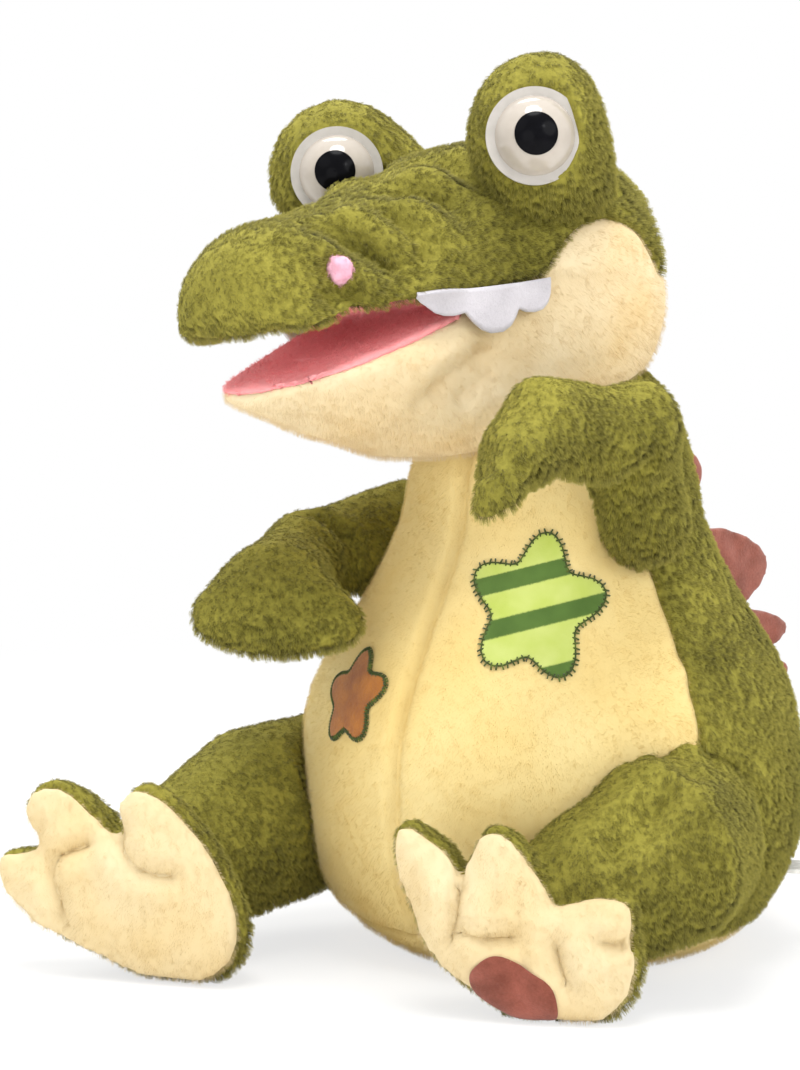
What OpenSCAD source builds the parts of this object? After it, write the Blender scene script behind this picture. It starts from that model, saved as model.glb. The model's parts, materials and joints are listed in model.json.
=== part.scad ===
// Moving mouth puppet: a seated plush crocodile worked by a hand in its sleeve.
// It faces -Y, its left side is +X, and it sits on the floor with the body's axis on Z.

/* [Body] */
// Height of the body up to the neck seam
body_h = 148; // [138:1:158]
// Largest radius of the belly
belly_r = 81; // [77:1:86]
// Height of the belly's widest place
belly_z = 52; // [46:1:58]
// Radius of the flat seat
seat_r = 42; // [38:1:46]
// Radius of the body at the neck seam
neck_seam_r = 47; // [45:1:51]
// Height of the seam round the seat panel
seat_seam_z = 10; // [7:1:14]
// Half of the angle that the belly panel covers
belly_half = 74; // [60:1:80]
// Thickness of the plush with its pile
plush = 4; // [3:0.5:5]
// Thickness of the lining cloth
lining = 1.5; // [1:0.1:2]
// Radius of the hand sleeve's bore
sleeve_r = 29; // [26:0.5:30]

/* [Patches, plates and label] */
// Radius of the left star patch to its points
star_r = 22; // [18:1:26]
// Thickness of a star patch with its stitched edge
star_t = 1.4; // [1:0.1:2]
// Size of the right star patch as a share of the left one
star_share = 0.68; // [0.6:0.02:1]
// Thickness of the felt
felt = 3; // [2:0.5:4]
// Turn of the back seam from the middle towards the left side
spine_turn = 8; // [0:1:14]
// Length that the label stands out of its seam
label_out = 12; // [8:1:16]
// Width of the label
label_w = 16; // [12:1:20]

/* [Neck] */
// Radius of the neck collar
neck_ball_r = 42; // [40:0.5:43]
// Height of the collar's centre above the neck seam
neck_rise = 2; // [1:0.5:4]
// Height of the collar's rim above its centre
neck_rim = 20; // [16:1:22]
// Turn of the head at rest, towards its right side
head_yaw = 9; // [0:1:15]
// Tilt of the head at rest, left side up
head_roll = 7; // [0:1:12]

/* [Head] */
// Distance of the mouth's fold in front of the neck
hinge_out = 38; // [35:1:42]
// Height of the mouth's fold above the neck seam
hinge_rise = 65; // [61:1:70]
// Length of the snout in front of the mouth's fold
snout_len = 95; // [86:1:105]
// Length of the head behind the mouth's fold
skull_len = 67; // [62:1:72]
// Half width of the snout near its tip
snout_w = 34; // [30:1:38]
// Half width of the skull at the cheeks
skull_w = 53; // [50:1:57]
// Height of the skull above the mouth's fold
skull_h = 47; // [42:1:52]
// Height of the snout's tip above its lip
snout_h = 29; // [25:1:33]
// Depth of the chin below the mouth's fold
chin_d = 53; // [48:1:56]
// Depth of the jaw's tip below its lip
jaw_tip_d = 9; // [7:1:12]
// Slope of the upper lip, down towards the tip
palate_slope = 10; // [6:1:14]
// Slope of the lower lip, down towards the tip
jaw_slope = 16.5; // [15:0.5:20]
// How much narrower the lower lip is than the upper, on each side
jaw_set_in = 3.5; // [3:0.5:5]
// Depth of stuffing between the outside and the finger and thumb pockets
pocket_wall = 11; // [9:1:13]
// Thickness of the stiff mouth boards
board_t = 2; // [1.5:0.1:2.5]
// Radius of the sewn fold that the mouth turns on
fold_r = 1.6; // [1:0.1:2]
// Length of a strip of teeth
teeth_len = 46; // [38:1:50]
// Depth of the longest tooth
teeth_d = 15; // [11:1:18]
// Radius of a nostril knot
nostril_r = 4.5; // [3:0.5:6]

/* [Eyes] */
// Distance of an eye bump's centre from the middle of the head
bump_x = 48; // [45:1:51]
// Radius of an eye bump
bump_r = 23.5; // [21.5:0.5:25]
// Diameter of the plastic eye
eye_d = 24; // [20:1:26]
// Diameter of the pupil
pupil_d = 13; // [10:1:15]
// Diameter of the flange disc behind the eye
flange_d = 29.5; // [27:0.5:31]
// Thickness of the flange disc
flange_t = 2; // [1.5:0.1:2.5]
// Diameter of the eye's shank
shank_d = 5; // [4:0.5:6]
// Diameter of the lock washer
washer_d = 15; // [12:0.5:16]

/* [Arms] */
// Length from the shoulder to the elbow
upper_arm = 43; // [39:1:47]
// Length from the elbow to the wrist
forearm = 43; // [39:1:47]
// Length of a paw
paw_len = 24; // [20:1:28]
// Radius of an arm at the elbow
arm_r = 15.5; // [14:0.5:17]
// Half width of a paw
paw_w = 24; // [20:1:27]
// Height of the raised arm's shoulder below the neck seam
shoulder_drop = 6; // [5:1:12]

/* [Legs and feet] */
// Radius of a thigh
thigh_r = 29; // [26:1:31]
// Radius of an ankle
ankle_r = 20; // [18:1:22]
// Reach of the left leg, from its hip to the middle of its sole
left_reach = 71; // [68:1:76]
// Reach of the right leg, from its hip to the middle of its sole
right_reach = 103.4; // [99:0.2:107]
// Height of the hips
hip_z = 45; // [42:1:49]
// Radius of a sole between its toes
sole_r = 23; // [21:1:26]
// Length of a toe beyond the sole, and depth of the gaps between the toes
toe_len = 15; // [13:0.5:16]
// Depth of a foot behind its sole
foot_d = 23; // [19:1:27]
// Length of the felt oval on the left sole
oval_len = 31; // [26:1:36]
// Width of the felt oval on the left sole
oval_w = 21; // [17:1:25]

/* [Tail] */
// Length of the tail behind its root
tail_len = 92; // [70:1:110]
// Radius of the tail at its root
tail_r = 24; // [20:1:26]

/* [Fits] */
// Clearance of a soft ball in its socket
soft_gap = 0.4; // [0.3:0.1:0.8]
// Clearance of a limb from the body around its socket
limb_gap = 2.6; // [2.2:0.1:3.2]
// Clearance of the tail from the body around its socket
tail_gap = 4; // [3.4:0.1:5]
// Clearance between the neck's faces
turn_gap = 0.3; // [0.2:0.05:0.5]
// Furthest that the mouth opens from rest
jaw_open = 24; // [15:1:26]

/* [Hidden] */
$fn = 64;
ring_n = 16;
green = "#7a8740";
yellow = "#f3e3a4";
pink = "#e79c9c";
brown = "#8a4a37";
white = "#f1f1ec";
fill = "#eceae2";
board = "#a39c8c";

// General helpers: a direction from its turn and rise, a smooth skin over closed rings, a soft tube

function unit(v) = v / norm(v);
function heading(turn, rise) = [sin(turn) * cos(rise), -cos(turn) * cos(rise), sin(rise)];

// Joins closed rings of equal count with triangles. Each ring runs anticlockwise about the way along.
module skin(rings) {
    n = len(rings[0]);
    last = (len(rings) - 1) * n;
    start_cap = [for (k = [1:n - 2]) [0, k, k + 1]];
    end_cap = [for (k = [1:n - 2]) [last, last + k + 1, last + k]];
    sides = [for (i = [0:len(rings) - 2], k = [0:n - 1])
        let (a = i * n + k, b = i * n + (k + 1) % n)
            each [[a, b + n, b], [a, a + n, b + n]]];
    polyhedron(points = [for (r = rings) each r], faces = concat(start_cap, sides, end_cap));
}

// One oval ring: centre, way along, side direction, half sizes across and along the side
function oval_ring(c, along, side, a, b) =
    let (u = unit(side - (side * along) * along), w = cross(along, u))
        [for (k = [0:ring_n - 1]) c + a * cos(360 * k / ring_n) * u + b * sin(360 * k / ring_n) * w];

// Stations are [point, half size along the side, half size across]. Both ends are rounded off.
function way(st, i) = unit(st[min(i + 1, len(st) - 1)][0] - st[max(i - 1, 0)][0]);
function round_end(s, along) =
    [for (f = [25, 50, 75]) [s[0] + along * min(s[1], s[2]) * sin(f), s[1] * cos(f), s[2] * cos(f)]];
function soft_rings(st, side) =
    let (d0 = way(st, 0), d1 = way(st, len(st) - 1),
         first = round_end(st[0], -d0), end = round_end(st[len(st) - 1], d1))
        concat(
            [for (k = [2:-1:0]) oval_ring(first[k][0], d0, side, first[k][1], first[k][2])],
            [for (i = [0:len(st) - 1]) oval_ring(st[i][0], way(st, i), side, st[i][1], st[i][2])],
            [for (k = [0:2]) oval_ring(end[k][0], d1, side, end[k][1], end[k][2])]);
module soft_tube(st, side) skin(soft_rings(st, side));

// Body: a pear turned about Z, rounded up from the flat seat and drawn in to the neck seam

body_fullness = 1.3;
body_curve = concat(
    [for (k = [0:6]) [seat_r + (belly_r - seat_r) * sin(15 * k), belly_z * (1 - cos(15 * k))]],
    [for (k = [1:9]) [
        neck_seam_r + (belly_r - neck_seam_r) * (0.5 + 0.5 * cos(180 * pow(k / 9, body_fullness))),
        belly_z + (body_h - belly_z) * k / 9]]);
function body_points(out) =
    [for (p = body_curve) [p[0] + out, p[1] * (body_h + 2 * out) / body_h - out]];
function body_r(z) = lookup(z, [for (p = body_curve) [p[1], p[0]]]);

module body_solid(out = 0) {
    rotate_extrude() polygon(concat([[0, -out]], body_points(out), [[0, body_h + out]]));
}

lining_r = sleeve_r + lining;
module body_bore() translate([0, 0, -1]) cylinder(r = lining_r, h = body_h + 2);

module body_shell() {
    difference() {
        body_solid();
        body_solid(-plush);
        body_bore();
        sockets();
    }
}

module above_seat() translate([0, 0, seat_seam_z]) cylinder(r = 2 * belly_r, h = body_h);
module belly_sector() {
    translate([0, 0, seat_seam_z]) linear_extrude(height = body_h)
        polygon(concat([[0, 0]],
            [for (k = [-4:4]) let (a = belly_half * k / 4) 3 * belly_r * [sin(a), -cos(a)]]));
}

module seat_panel() color(yellow) difference() { body_shell(); above_seat(); }
module belly_panel() color(yellow) intersection() { body_shell(); belly_sector(); }
module back_panel() {
    color(green) difference() {
        intersection() { body_shell(); above_seat(); }
        belly_sector();
    }
}
module body_stuffing() {
    color(fill) difference() {
        body_solid(-plush);
        body_bore();
        sockets();
    }
}
module hand_sleeve() {
    color(white) difference() {
        cylinder(r = lining_r, h = body_h);
        translate([0, 0, -1]) cylinder(r = sleeve_r, h = body_h + 2);
    }
}

// Patches, plates and label on the body

// A five-pointed star with soft points, as one smooth polar curve
star_dent = 0.18;
function star_outline(r) = [for (k = [0:49]) let (a = 7.2 * k)
    r * (1 - star_dent + star_dent * cos(5 * a)) * [sin(a), cos(a)]];
module star_patch(turn, z, spin, r) {
    difference() {
        intersection() {
            body_solid(star_t);
            rotate([0, 0, turn]) translate([0, 0, z]) rotate([90, 0, 0]) rotate([0, 0, spin])
                linear_extrude(height = 2 * belly_r) polygon(star_outline(r));
        }
        body_solid();
    }
}
module star_patch_left() color("#a9cf4b") star_patch(33, 117, -8, star_r);
module star_patch_right() color("#a4642f") star_patch(-17, 86, 6, star_share * star_r);

// Each plate: height of its middle, height that it stands out of the back, length along the seam
plates = [[body_h - 2, 22, 30], [112, 40, 40], [91, 38, 24], [77, 34, 20], [65, 24, 14]];
plate_root = 12;
module back_plate(i) {
    z = plates[i][0];
    r = body_r(z);
    tip = plates[i][1];
    long = plates[i][2];
    color(brown) difference() {
        rotate([0, 0, -spine_turn]) rotate([90, 0, 90])
            linear_extrude(height = felt, center = true)
                polygon(concat(
                    [[r - plate_root, z - long / 2], [r - plate_root, z + long / 2]],
                    [for (k = [0:12]) let (t = k / 12)
                        [r + tip * pow(sin(180 * pow(t, 0.8)), 0.8), z + long * (0.5 - t)]]));
        body_solid();
        neck_socket();
        if (i > 0) plate_cut((plates[i - 1][0] + z) / 2, body_h);
        if (i < len(plates) - 1) plate_cut((plates[i + 1][0] + z) / 2 - body_h, body_h + plate_gap);
    }
}
// Neighbouring plates end a little apart, at the height halfway between their middles
plate_gap = 0.3;
module plate_cut(low, high) translate([-belly_r, 0, low]) cube([2 * belly_r, 2 * belly_r, high]);
module back_plate_1() back_plate(0);
module back_plate_2() back_plate(1);
module back_plate_3() back_plate(2);
module back_plate_4() back_plate(3);
module back_plate_5() back_plate(4);

label_z = 24;
label_turn = 128;
module label() {
    color(white) difference() {
        rotate([0, 0, label_turn - 90]) translate([0, -label_w / 2, label_z])
            cube([body_r(label_z) + label_out, label_w, lining]);
        body_solid();
    }
}

// Neck: a ball-shaped collar round the sleeve, which the head turns and nods on

neck_z = body_h + neck_rise;
collar_foot = -neck_rise + turn_gap;
module neck_collar() {
    color(yellow) translate([0, 0, neck_z]) difference() {
        intersection() {
            sphere(r = neck_ball_r);
            translate([0, 0, collar_foot]) cylinder(r = 2 * neck_ball_r, h = neck_rim - collar_foot);
        }
        cylinder(r = lining_r, h = 4 * neck_ball_r, center = true);
    }
}
module neck_sleeve() {
    color(white) translate([0, 0, neck_z + collar_foot]) difference() {
        cylinder(r = lining_r, h = neck_rim - collar_foot);
        translate([0, 0, -1]) cylinder(r = sleeve_r, h = 2 * neck_ball_r);
    }
}
module neck_socket() translate([0, 0, neck_z]) sphere(r = neck_ball_r + soft_gap);

// Head: drawn facing -Y over the neck's axis, then turned and tilted about the collar's centre

module on_head() {
    translate([0, 0, neck_z]) rotate([0, 0, -head_yaw]) rotate([0, -head_roll, 0])
        translate([0, 0, -neck_z]) children();
}

hinge_y = -hinge_out;
hinge_z = body_h + hinge_rise;
tip_y = hinge_y - snout_len;
back_y = hinge_y + skull_len;

// Upper head stations: share of the snout (negative) or skull (positive), half width, height over the lip.
// The lip tucks up under the tip by snout_tuck.
upper_st = [
    [-1.00, 0.38 * snout_w, 0.70 * snout_h],
    [-0.95, 0.70 * snout_w, 0.92 * snout_h],
    [-0.84, 0.93 * snout_w, 1.08 * snout_h],
    [-0.66, snout_w, 1.16 * snout_h],
    [-0.46, 0.45 * snout_w + 0.50 * skull_w, 0.60 * snout_h + 0.40 * skull_h],
    [-0.24, 0.22 * snout_w + 0.75 * skull_w, 0.30 * snout_h + 0.66 * skull_h],
    [0.00, 0.97 * skull_w, 0.93 * skull_h],
    [0.28, skull_w, skull_h],
    [0.58, 0.94 * skull_w, 0.95 * skull_h],
    [0.84, 0.76 * skull_w, 0.74 * skull_h],
    [1.00, 0.40 * skull_w, 0.40 * skull_h]];

// Lower head stations: share, half width, depth under the lip
lower_st = [
    [-0.88, 0.34 * snout_w, 0.50 * jaw_tip_d],
    [-0.82, 0.66 * snout_w, jaw_tip_d],
    [-0.70, 0.90 * snout_w, 0.80 * jaw_tip_d + 0.20 * chin_d],
    [-0.52, 0.55 * snout_w + 0.35 * skull_w, 0.40 * jaw_tip_d + 0.55 * chin_d],
    [-0.26, 0.20 * snout_w + 0.66 * skull_w, 0.10 * jaw_tip_d + 0.86 * chin_d],
    [0.00, 0.97 * skull_w - jaw_set_in, chin_d],
    [0.32, skull_w - 0.5 * jaw_set_in, 0.94 * chin_d],
    [0.62, 0.93 * skull_w, 0.86 * chin_d],
    [0.86, 0.75 * skull_w, 0.71 * chin_d],
    [1.00, 0.42 * skull_w, 0.46 * chin_d]];

function share_y(s, inset) =
    s < 0 ? hinge_y + s * (snout_len - inset) : hinge_y + s * (skull_len - inset);
function lip_z(y, slope) = y < hinge_y ? hinge_z - (hinge_y - y) * tan(slope) : hinge_z;

// A ring over the lip: full at the sides, as a stuffed shape is
fullness = 0.84;
arch_n = 14;
function arch(y, w, z0, z1) =
    [for (k = [0:arch_n]) let (t = 180 * k / arch_n)
        [sign(cos(t)) * w * pow(abs(cos(t)), fullness), y, z0 + (z1 - z0) * pow(max(sin(t), 0), fullness)]];

// Each form can be drawn smaller all round. A smaller one reaches below the lip, so that it cuts cleanly.
least = 3;
under = 1;
function snout_tuck(s) = s < -0.99 ? 0.26 * snout_h : s < -0.94 ? 0.08 * snout_h : 0;
module upper_form(inset) {
    rings = [for (s = upper_st)
        let (y = share_y(s[0], inset), lip = lip_z(y, palate_slope), base = inset > 0 ? -under : snout_tuck(s[0]))
            arch(y, -max(s[1] - inset, least), lip + base, lip + max(s[2] - inset, least))];
    skin(rings);
}
module lower_form(inset) {
    rings = [for (s = lower_st)
        let (y = share_y(s[0], inset), lip = lip_z(y, jaw_slope), base = inset > 0 ? under : 0)
            arch(y, max(s[1] - inset, least), lip + base, lip - max(s[2] - inset, least))];
    skin(rings);
}
// The space over or under the mouth boards, in the side view
module beyond_boards(slope, up) {
    far = 3 * snout_len;
    edge = [[hinge_y - far, hinge_z - far * tan(slope) + up * mouth_stack],
        [hinge_y, hinge_z + up * mouth_stack], [hinge_y + far, hinge_z + up * mouth_stack]];
    translate([-2 * skull_w, 0, 0]) rotate([90, 0, 90]) linear_extrude(height = 4 * skull_w)
        polygon(concat(edge, [[hinge_y + far, hinge_z + up * far], [hinge_y - far, hinge_z + up * far]]));
}

// The cheeks rise over the mouth's corner as an arch on the upper head
cheek_rise = 19;
cheek_front = 8;
cheek_len = 0.86 * skull_len;
module cheek_arch(side) {
    translate([side > 0 ? 0 : -2 * skull_w, 0, 0]) rotate([90, 0, 90]) linear_extrude(height = 2 * skull_w)
        polygon([for (k = [0:12])
            [hinge_y - cheek_front + (cheek_len / 2) * (1 - cos(15 * k)), hinge_z + cheek_rise * sin(15 * k)]]);
}
module upper_shell() {
    difference() {
        upper_form(0);
        upper_form(plush);
    }
}
module crown() {
    color(green) on_head() difference() {
        upper_shell();
        cheek_arch(1);
        cheek_arch(-1);
        eye_and_nostril_cuts();
    }
}
module eye_and_nostril_cuts() {
    for (side = [-1, 1]) {
        shank_way(side);
        eye_pocket(side);
        nostril_ball(side, soft_gap);
    }
}
module cheek(side) color(yellow) on_head() intersection() { upper_shell(); cheek_arch(side); }
module cheek_left() cheek(1);
module cheek_right() cheek(-1);

mouth_stack = board_t + lining + turn_gap;
module head_stuffing() {
    color(fill) on_head() difference() {
        intersection() { upper_form(plush); beyond_boards(palate_slope, 1); }
        upper_form(pocket_wall);
        eye_and_nostril_cuts();
    }
}
module finger_pocket() {
    color(white) on_head() difference() {
        intersection() { upper_form(pocket_wall); beyond_boards(palate_slope, 1); }
        upper_form(pocket_wall + lining);
    }
}

// Sectors about the mouth's fold, drawn in the side view: angles count from straight down, towards the back
function about_fold(a, r) = [hinge_y + r * sin(a), hinge_z - r * cos(a)];
sector_r = 3 * snout_len;
module fold_sector(from, to) {
    steps = 6;
    translate([-2 * skull_w, 0, 0]) rotate([90, 0, 90]) linear_extrude(height = 4 * skull_w)
        polygon(concat([[hinge_y, hinge_z]],
            [for (k = [0:steps]) about_fold(from + (to - from) * k / steps, sector_r)]));
}
throat_angle = 3;
gusset_fold = 7;
jaw_angle = throat_angle - jaw_open - gusset_fold;
front_angle = -100;
rear_angle = 110;

module throat() {
    color(yellow) difference() {
        on_head() intersection() {
            difference() {
                lower_form(0);
                lower_form(pocket_wall);
            }
            fold_sector(throat_angle, rear_angle);
        }
        neck_socket();
        hand_way();
    }
}
// The hand goes on from the neck into the head here
hand_way_r = sleeve_r - 2;
hand_way_y = -9;
module hand_way() on_head() translate([0, hand_way_y, neck_z]) cylinder(r = hand_way_r, h = hinge_rise - pocket_wall);
module lower_shell() {
    difference() {
        lower_form(0);
        lower_form(plush);
    }
}
module throat_gusset() {
    color(yellow) difference() {
        on_head() intersection() {
            lower_shell();
            fold_sector(jaw_angle, throat_angle);
        }
        neck_socket();
    }
}
module lower_jaw() color(yellow) on_head() intersection() { lower_shell(); fold_sector(front_angle, jaw_angle); }
module jaw_stuffing() {
    color(fill) on_head() difference() {
        intersection() {
            lower_form(plush);
            beyond_boards(jaw_slope, -1);
            fold_sector(front_angle, jaw_angle);
        }
        lower_form(pocket_wall);
    }
}
module thumb_pocket() {
    color(white) on_head() difference() {
        intersection() {
            lower_form(pocket_wall);
            beyond_boards(jaw_slope, -1);
            fold_sector(front_angle, jaw_angle);
        }
        lower_form(pocket_wall + lining);
    }
}

// Mouth boards and linings lie inside the lips, on the lip's slope
board_gap = 0.6;
module mouth_plate(slope, low, high) {
    translate([0, hinge_y, hinge_z]) rotate([slope, 0, 0]) translate([-skull_w, -2 * snout_len, low])
        cube([2 * skull_w, 2 * snout_len - fold_r - soft_gap, high - low]);
}
module palate_plate(low, high) {
    intersection() {
        mouth_plate(palate_slope, low, high);
        upper_form(plush + board_gap);
    }
}
module jaw_plate(low, high) {
    intersection() {
        mouth_plate(jaw_slope, low, high);
        lower_form(plush + board_gap);
        fold_sector(front_angle, jaw_angle);
    }
}
module palate_board() color(board) on_head() palate_plate(lining, lining + board_t);
module palate_lining() color(pink) on_head() palate_plate(0, lining);
module jaw_board() color(board) on_head() jaw_plate(-lining - board_t, -lining);
module jaw_lining() color(pink) on_head() jaw_plate(-lining, 0);
module mouth_fold() {
    w = lower_st[5][1] - pocket_wall - soft_gap;
    color(pink) on_head() translate([-w, hinge_y, hinge_z]) rotate([0, 90, 0]) cylinder(r = fold_r, h = 2 * w);
}

// Teeth: a scalloped strip that hangs from the upper lip, outside the lower one
teeth_t = 1.6;
teeth_front = 4;
module teeth(side) {
    teeth_end = [upper_st[6][1] - teeth_t - 0.4, hinge_y - teeth_front];
    out = (upper_st[6][1] - upper_st[4][1]) / (0.46 * snout_len);
    scallops = [0.62, 1, 0.72];
    color(white) on_head() mirror([side > 0 ? 0 : 1, 0, 0])
        translate([teeth_end[0], teeth_end[1], lip_z(teeth_end[1], palate_slope)]) rotate([0, 0, -atan(out)])
            rotate([palate_slope, 0, 0]) rotate([90, 0, -90]) translate([0, -turn_gap, -teeth_t])
                linear_extrude(height = teeth_t)
                    polygon(concat([[0, 0]], [for (k = [0:23]) let (t = k / 23, i = min(floor(3 * t), 2))
                        [teeth_len * t, -2 - (teeth_d - 2) * scallops[i] * pow(abs(sin(540 * t)), 0.7)]],
                        [[teeth_len, 0]]));
}
module teeth_left() teeth(1);
module teeth_right() teeth(-1);

// Nostrils: knots of pink cloth pulled into the side of the snout
nostril_at = -0.75;
nostril_out = 0.94;
nostril_up = 0.58;
module nostril_ball(side, gap) {
    y = share_y(nostril_at, 0);
    translate([side * nostril_out * snout_w, y, lip_z(y, palate_slope) + nostril_up * snout_h])
        sphere(r = nostril_r + gap);
}
module nostril(side) color(pink) on_head() nostril_ball(side, 0);
module nostril_left() nostril(1);
module nostril_right() nostril(-1);

// Eyes: each stuffed bump leans out of the skull, and both plastic eyes look the same way

bump_y = hinge_y + 1;
bump_z = hinge_z + 42;
function bump_top(side) = [side * bump_x, bump_y, bump_z];
function eye_turn(side) = side > 0 ? 50 : 46;
function eye_lean(side) = side > 0 ? 38 : 45;
eye_seat = bump_r - 5;
eye_dip = -6;
eye_room = 2;
washer_t = 1.6;
washer_depth = 8;
shank_len = washer_depth + washer_t + 2;

// Puts its children on the eye's seat, with the eye's axis as Z
module eye_seat_on(side) {
    translate(bump_top(side) + eye_seat * heading(eye_lean(side), eye_dip))
        rotate([0, 0, eye_turn(side)]) rotate([90, 0, 0]) children();
}
module at_eye(side) on_head() eye_seat_on(side) children();
module eye_pocket(side) eye_seat_on(side) cylinder(d = flange_d + 2 * eye_room, h = flange_t + eye_bulge + eye_room);
module shank_way(side) {
    eye_seat_on(side) translate([0, 0, -shank_len - 1])
        cylinder(d = washer_d + 2 * soft_gap, h = shank_len - washer_depth + 4);
}
module eye_bump(side) {
    color(green) difference() {
        on_head() difference() {
            soft_tube([
                [bump_top(side) + [-side * 8, 14, -18], bump_r - 1, bump_r - 1],
                [bump_top(side) + [-side * 4, 7, -9], bump_r + 0.5, bump_r + 0.5],
                [bump_top(side), bump_r, bump_r]], [1, 0, 0]);
            upper_form(0);
            eye_pocket(side);
        }
        at_eye(side) {
            translate([0, 0, -shank_len - 1]) cylinder(d = shank_d + 2 * soft_gap, h = shank_len + 2);
            translate([0, 0, -washer_depth - washer_t - 1.5])
                cylinder(d = washer_d + 2 * soft_gap, h = washer_t + 1.5);
        }
    }
}
module eye_bump_left() eye_bump(1);
module eye_bump_right() eye_bump(-1);
module eye_flange(side) {
    color("#d9dcd4") at_eye(side) difference() {
        cylinder(d = flange_d, h = flange_t);
        translate([0, 0, -1]) cylinder(d = shank_d, h = flange_t + 2);
    }
}
module eye_flange_left() eye_flange(1);
module eye_flange_right() eye_flange(-1);

eye_bulge = 9;
eye_ball_r = (pow(eye_d / 2, 2) + pow(eye_bulge, 2)) / (2 * eye_bulge);
pupil_proud = 0.5;
module eye_cap(d, top) {
    intersection() {
        translate([0, 0, flange_t + top - eye_ball_r]) sphere(r = eye_ball_r);
        translate([0, 0, flange_t]) cylinder(d = d, h = 2 * eye_d);
    }
}
module eye_dome(side) {
    color(white) at_eye(side) {
        eye_cap(eye_d, eye_bulge);
        translate([0, 0, -shank_len]) cylinder(d = shank_d, h = shank_len + flange_t);
    }
}
module eye_dome_left() eye_dome(1);
module eye_dome_right() eye_dome(-1);
module eye_pupil(side) {
    color("#16161a") at_eye(side) difference() {
        eye_cap(pupil_d, eye_bulge + pupil_proud);
        eye_cap(eye_d, eye_bulge);
    }
}
module eye_pupil_left() eye_pupil(1);
module eye_pupil_right() eye_pupil(-1);
module eye_washer(side) {
    color(white) at_eye(side) translate([0, 0, -washer_depth - washer_t]) difference() {
        cylinder(d = washer_d, h = washer_t);
        translate([0, 0, -1]) cylinder(d = shank_d, h = washer_t + 2);
    }
}
module eye_washer_left() eye_washer(1);
module eye_washer_right() eye_washer(-1);

// Keeps a limb's ball in its socket and takes the rest of the limb off the body
module clear_of_body(at, r, gap = limb_gap) {
    difference() {
        children();
        difference() {
            body_solid(gap);
            translate(at) sphere(r = r + soft_gap / 2);
        }
    }
}

// Arms: a ball in a socket at the shoulder, then elbow, wrist and a flat mitten paw

// The raised left arm draws its seam up and forwards
function shoulder_turn(side) = side > 0 ? 70 : 84;
function shoulder_z(side) = body_h - (side > 0 ? 1 : 2.5) * shoulder_drop;
function shoulder_out(side) = side > 0 ? 9 : 5;
function shoulder(side) =
    (body_r(shoulder_z(side)) + shoulder_out(side)) * heading(side * shoulder_turn(side), 0)
    + [0, 0, shoulder_z(side)];
shoulder_r = 0.95 * arm_r;
// Each pose: turn and rise of the upper arm, the forearm and the paw
arm_pose_left = [[27, 48], [-12, 8], [-30, -52]];
arm_pose_right = [[-18, -10], [26, -7], [38, -34]];
function elbow(side, pose) = shoulder(side) + upper_arm * heading(pose[0][0], pose[0][1]);
function wrist(side, pose) = elbow(side, pose) + forearm * heading(pose[1][0], pose[1][1]);
module arm(side, pose, flat_way) {
    s = shoulder(side);
    e = elbow(side, pose);
    w = wrist(side, pose);
    p = heading(pose[2][0], pose[2][1]);
    color(green) clear_of_body(s, shoulder_r) soft_tube([
        [s, shoulder_r, shoulder_r],
        [s + 0.5 * (e - s), arm_r, arm_r],
        [e + 0.06 * (w - e), 1.05 * arm_r, 1.05 * arm_r],
        [e + 0.5 * (w - e), 0.92 * arm_r, 0.90 * arm_r],
        [w, 0.35 * arm_r + 0.45 * paw_w, 0.85 * arm_r],
        [w + 0.55 * paw_len * p, paw_w, 0.72 * arm_r],
        [w + 0.90 * paw_len * p, 0.92 * paw_w, 0.45 * arm_r]], flat_way);
}
module arm_left() arm(1, arm_pose_left, heading(40, 0));
module arm_right() arm(-1, arm_pose_right, heading(130, 0));

// Legs: a ball in a socket at the hip, a stuffed thigh, and a foot whose sole stands up from its heel

hip_in = 10;
function hip_turn(side) = side > 0 ? 70 : 66;
function hip(side) =
    (body_r(hip_z) - hip_in) * [side * sin(hip_turn(side)), -cos(hip_turn(side)), 0] + [0, 0, hip_z];
hip_r = 0.96 * thigh_r;
// Each foot: the way from its hip to its sole, and the way the sole looks
heel_len = 4;
heel_rise = 1;
sole_up = sole_r + heel_len + heel_rise;
function leg_turn(side) = side > 0 ? 0.75 : 1.8;
function sole_at(side) = [hip(side)[0], hip(side)[1], sole_up]
    + (side > 0 ? left_reach : right_reach) * heading(leg_turn(side), 0);
function sole_turn(side) = side > 0 ? 28 : 22;
function ankle(side) = sole_at(side) - (plush + 1 + ankle_r) * heading(sole_turn(side), 0);
function knee(side) = hip(side) + thigh_r * (side > 0 ? [0.41, -0.83, 0.03] : [-0.28, -1.17, -0.1]);

module leg(side) {
    h = hip(side);
    k = knee(side);
    a = ankle(side);
    color(green) difference() {
        clear_of_body(h, hip_r) soft_tube([
            [h, hip_r, hip_r],
            [k, thigh_r, thigh_r],
            [k + 0.55 * (a - k), 0.5 * thigh_r + 0.5 * ankle_r, 0.5 * thigh_r + 0.5 * ankle_r],
            [a, ankle_r, ankle_r]], [0, 0, 1]);
        at_sole(side) foot_cut(side);
    }
}
module leg_left() leg(1);
module leg_right() leg(-1);

// Puts its children on a sole: X to the right and Y up as seen from in front, Z the way the sole looks
module at_sole(side) {
    translate(sole_at(side)) rotate([0, 0, sole_turn(side)]) rotate([90, 0, 0]) children();
}
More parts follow.
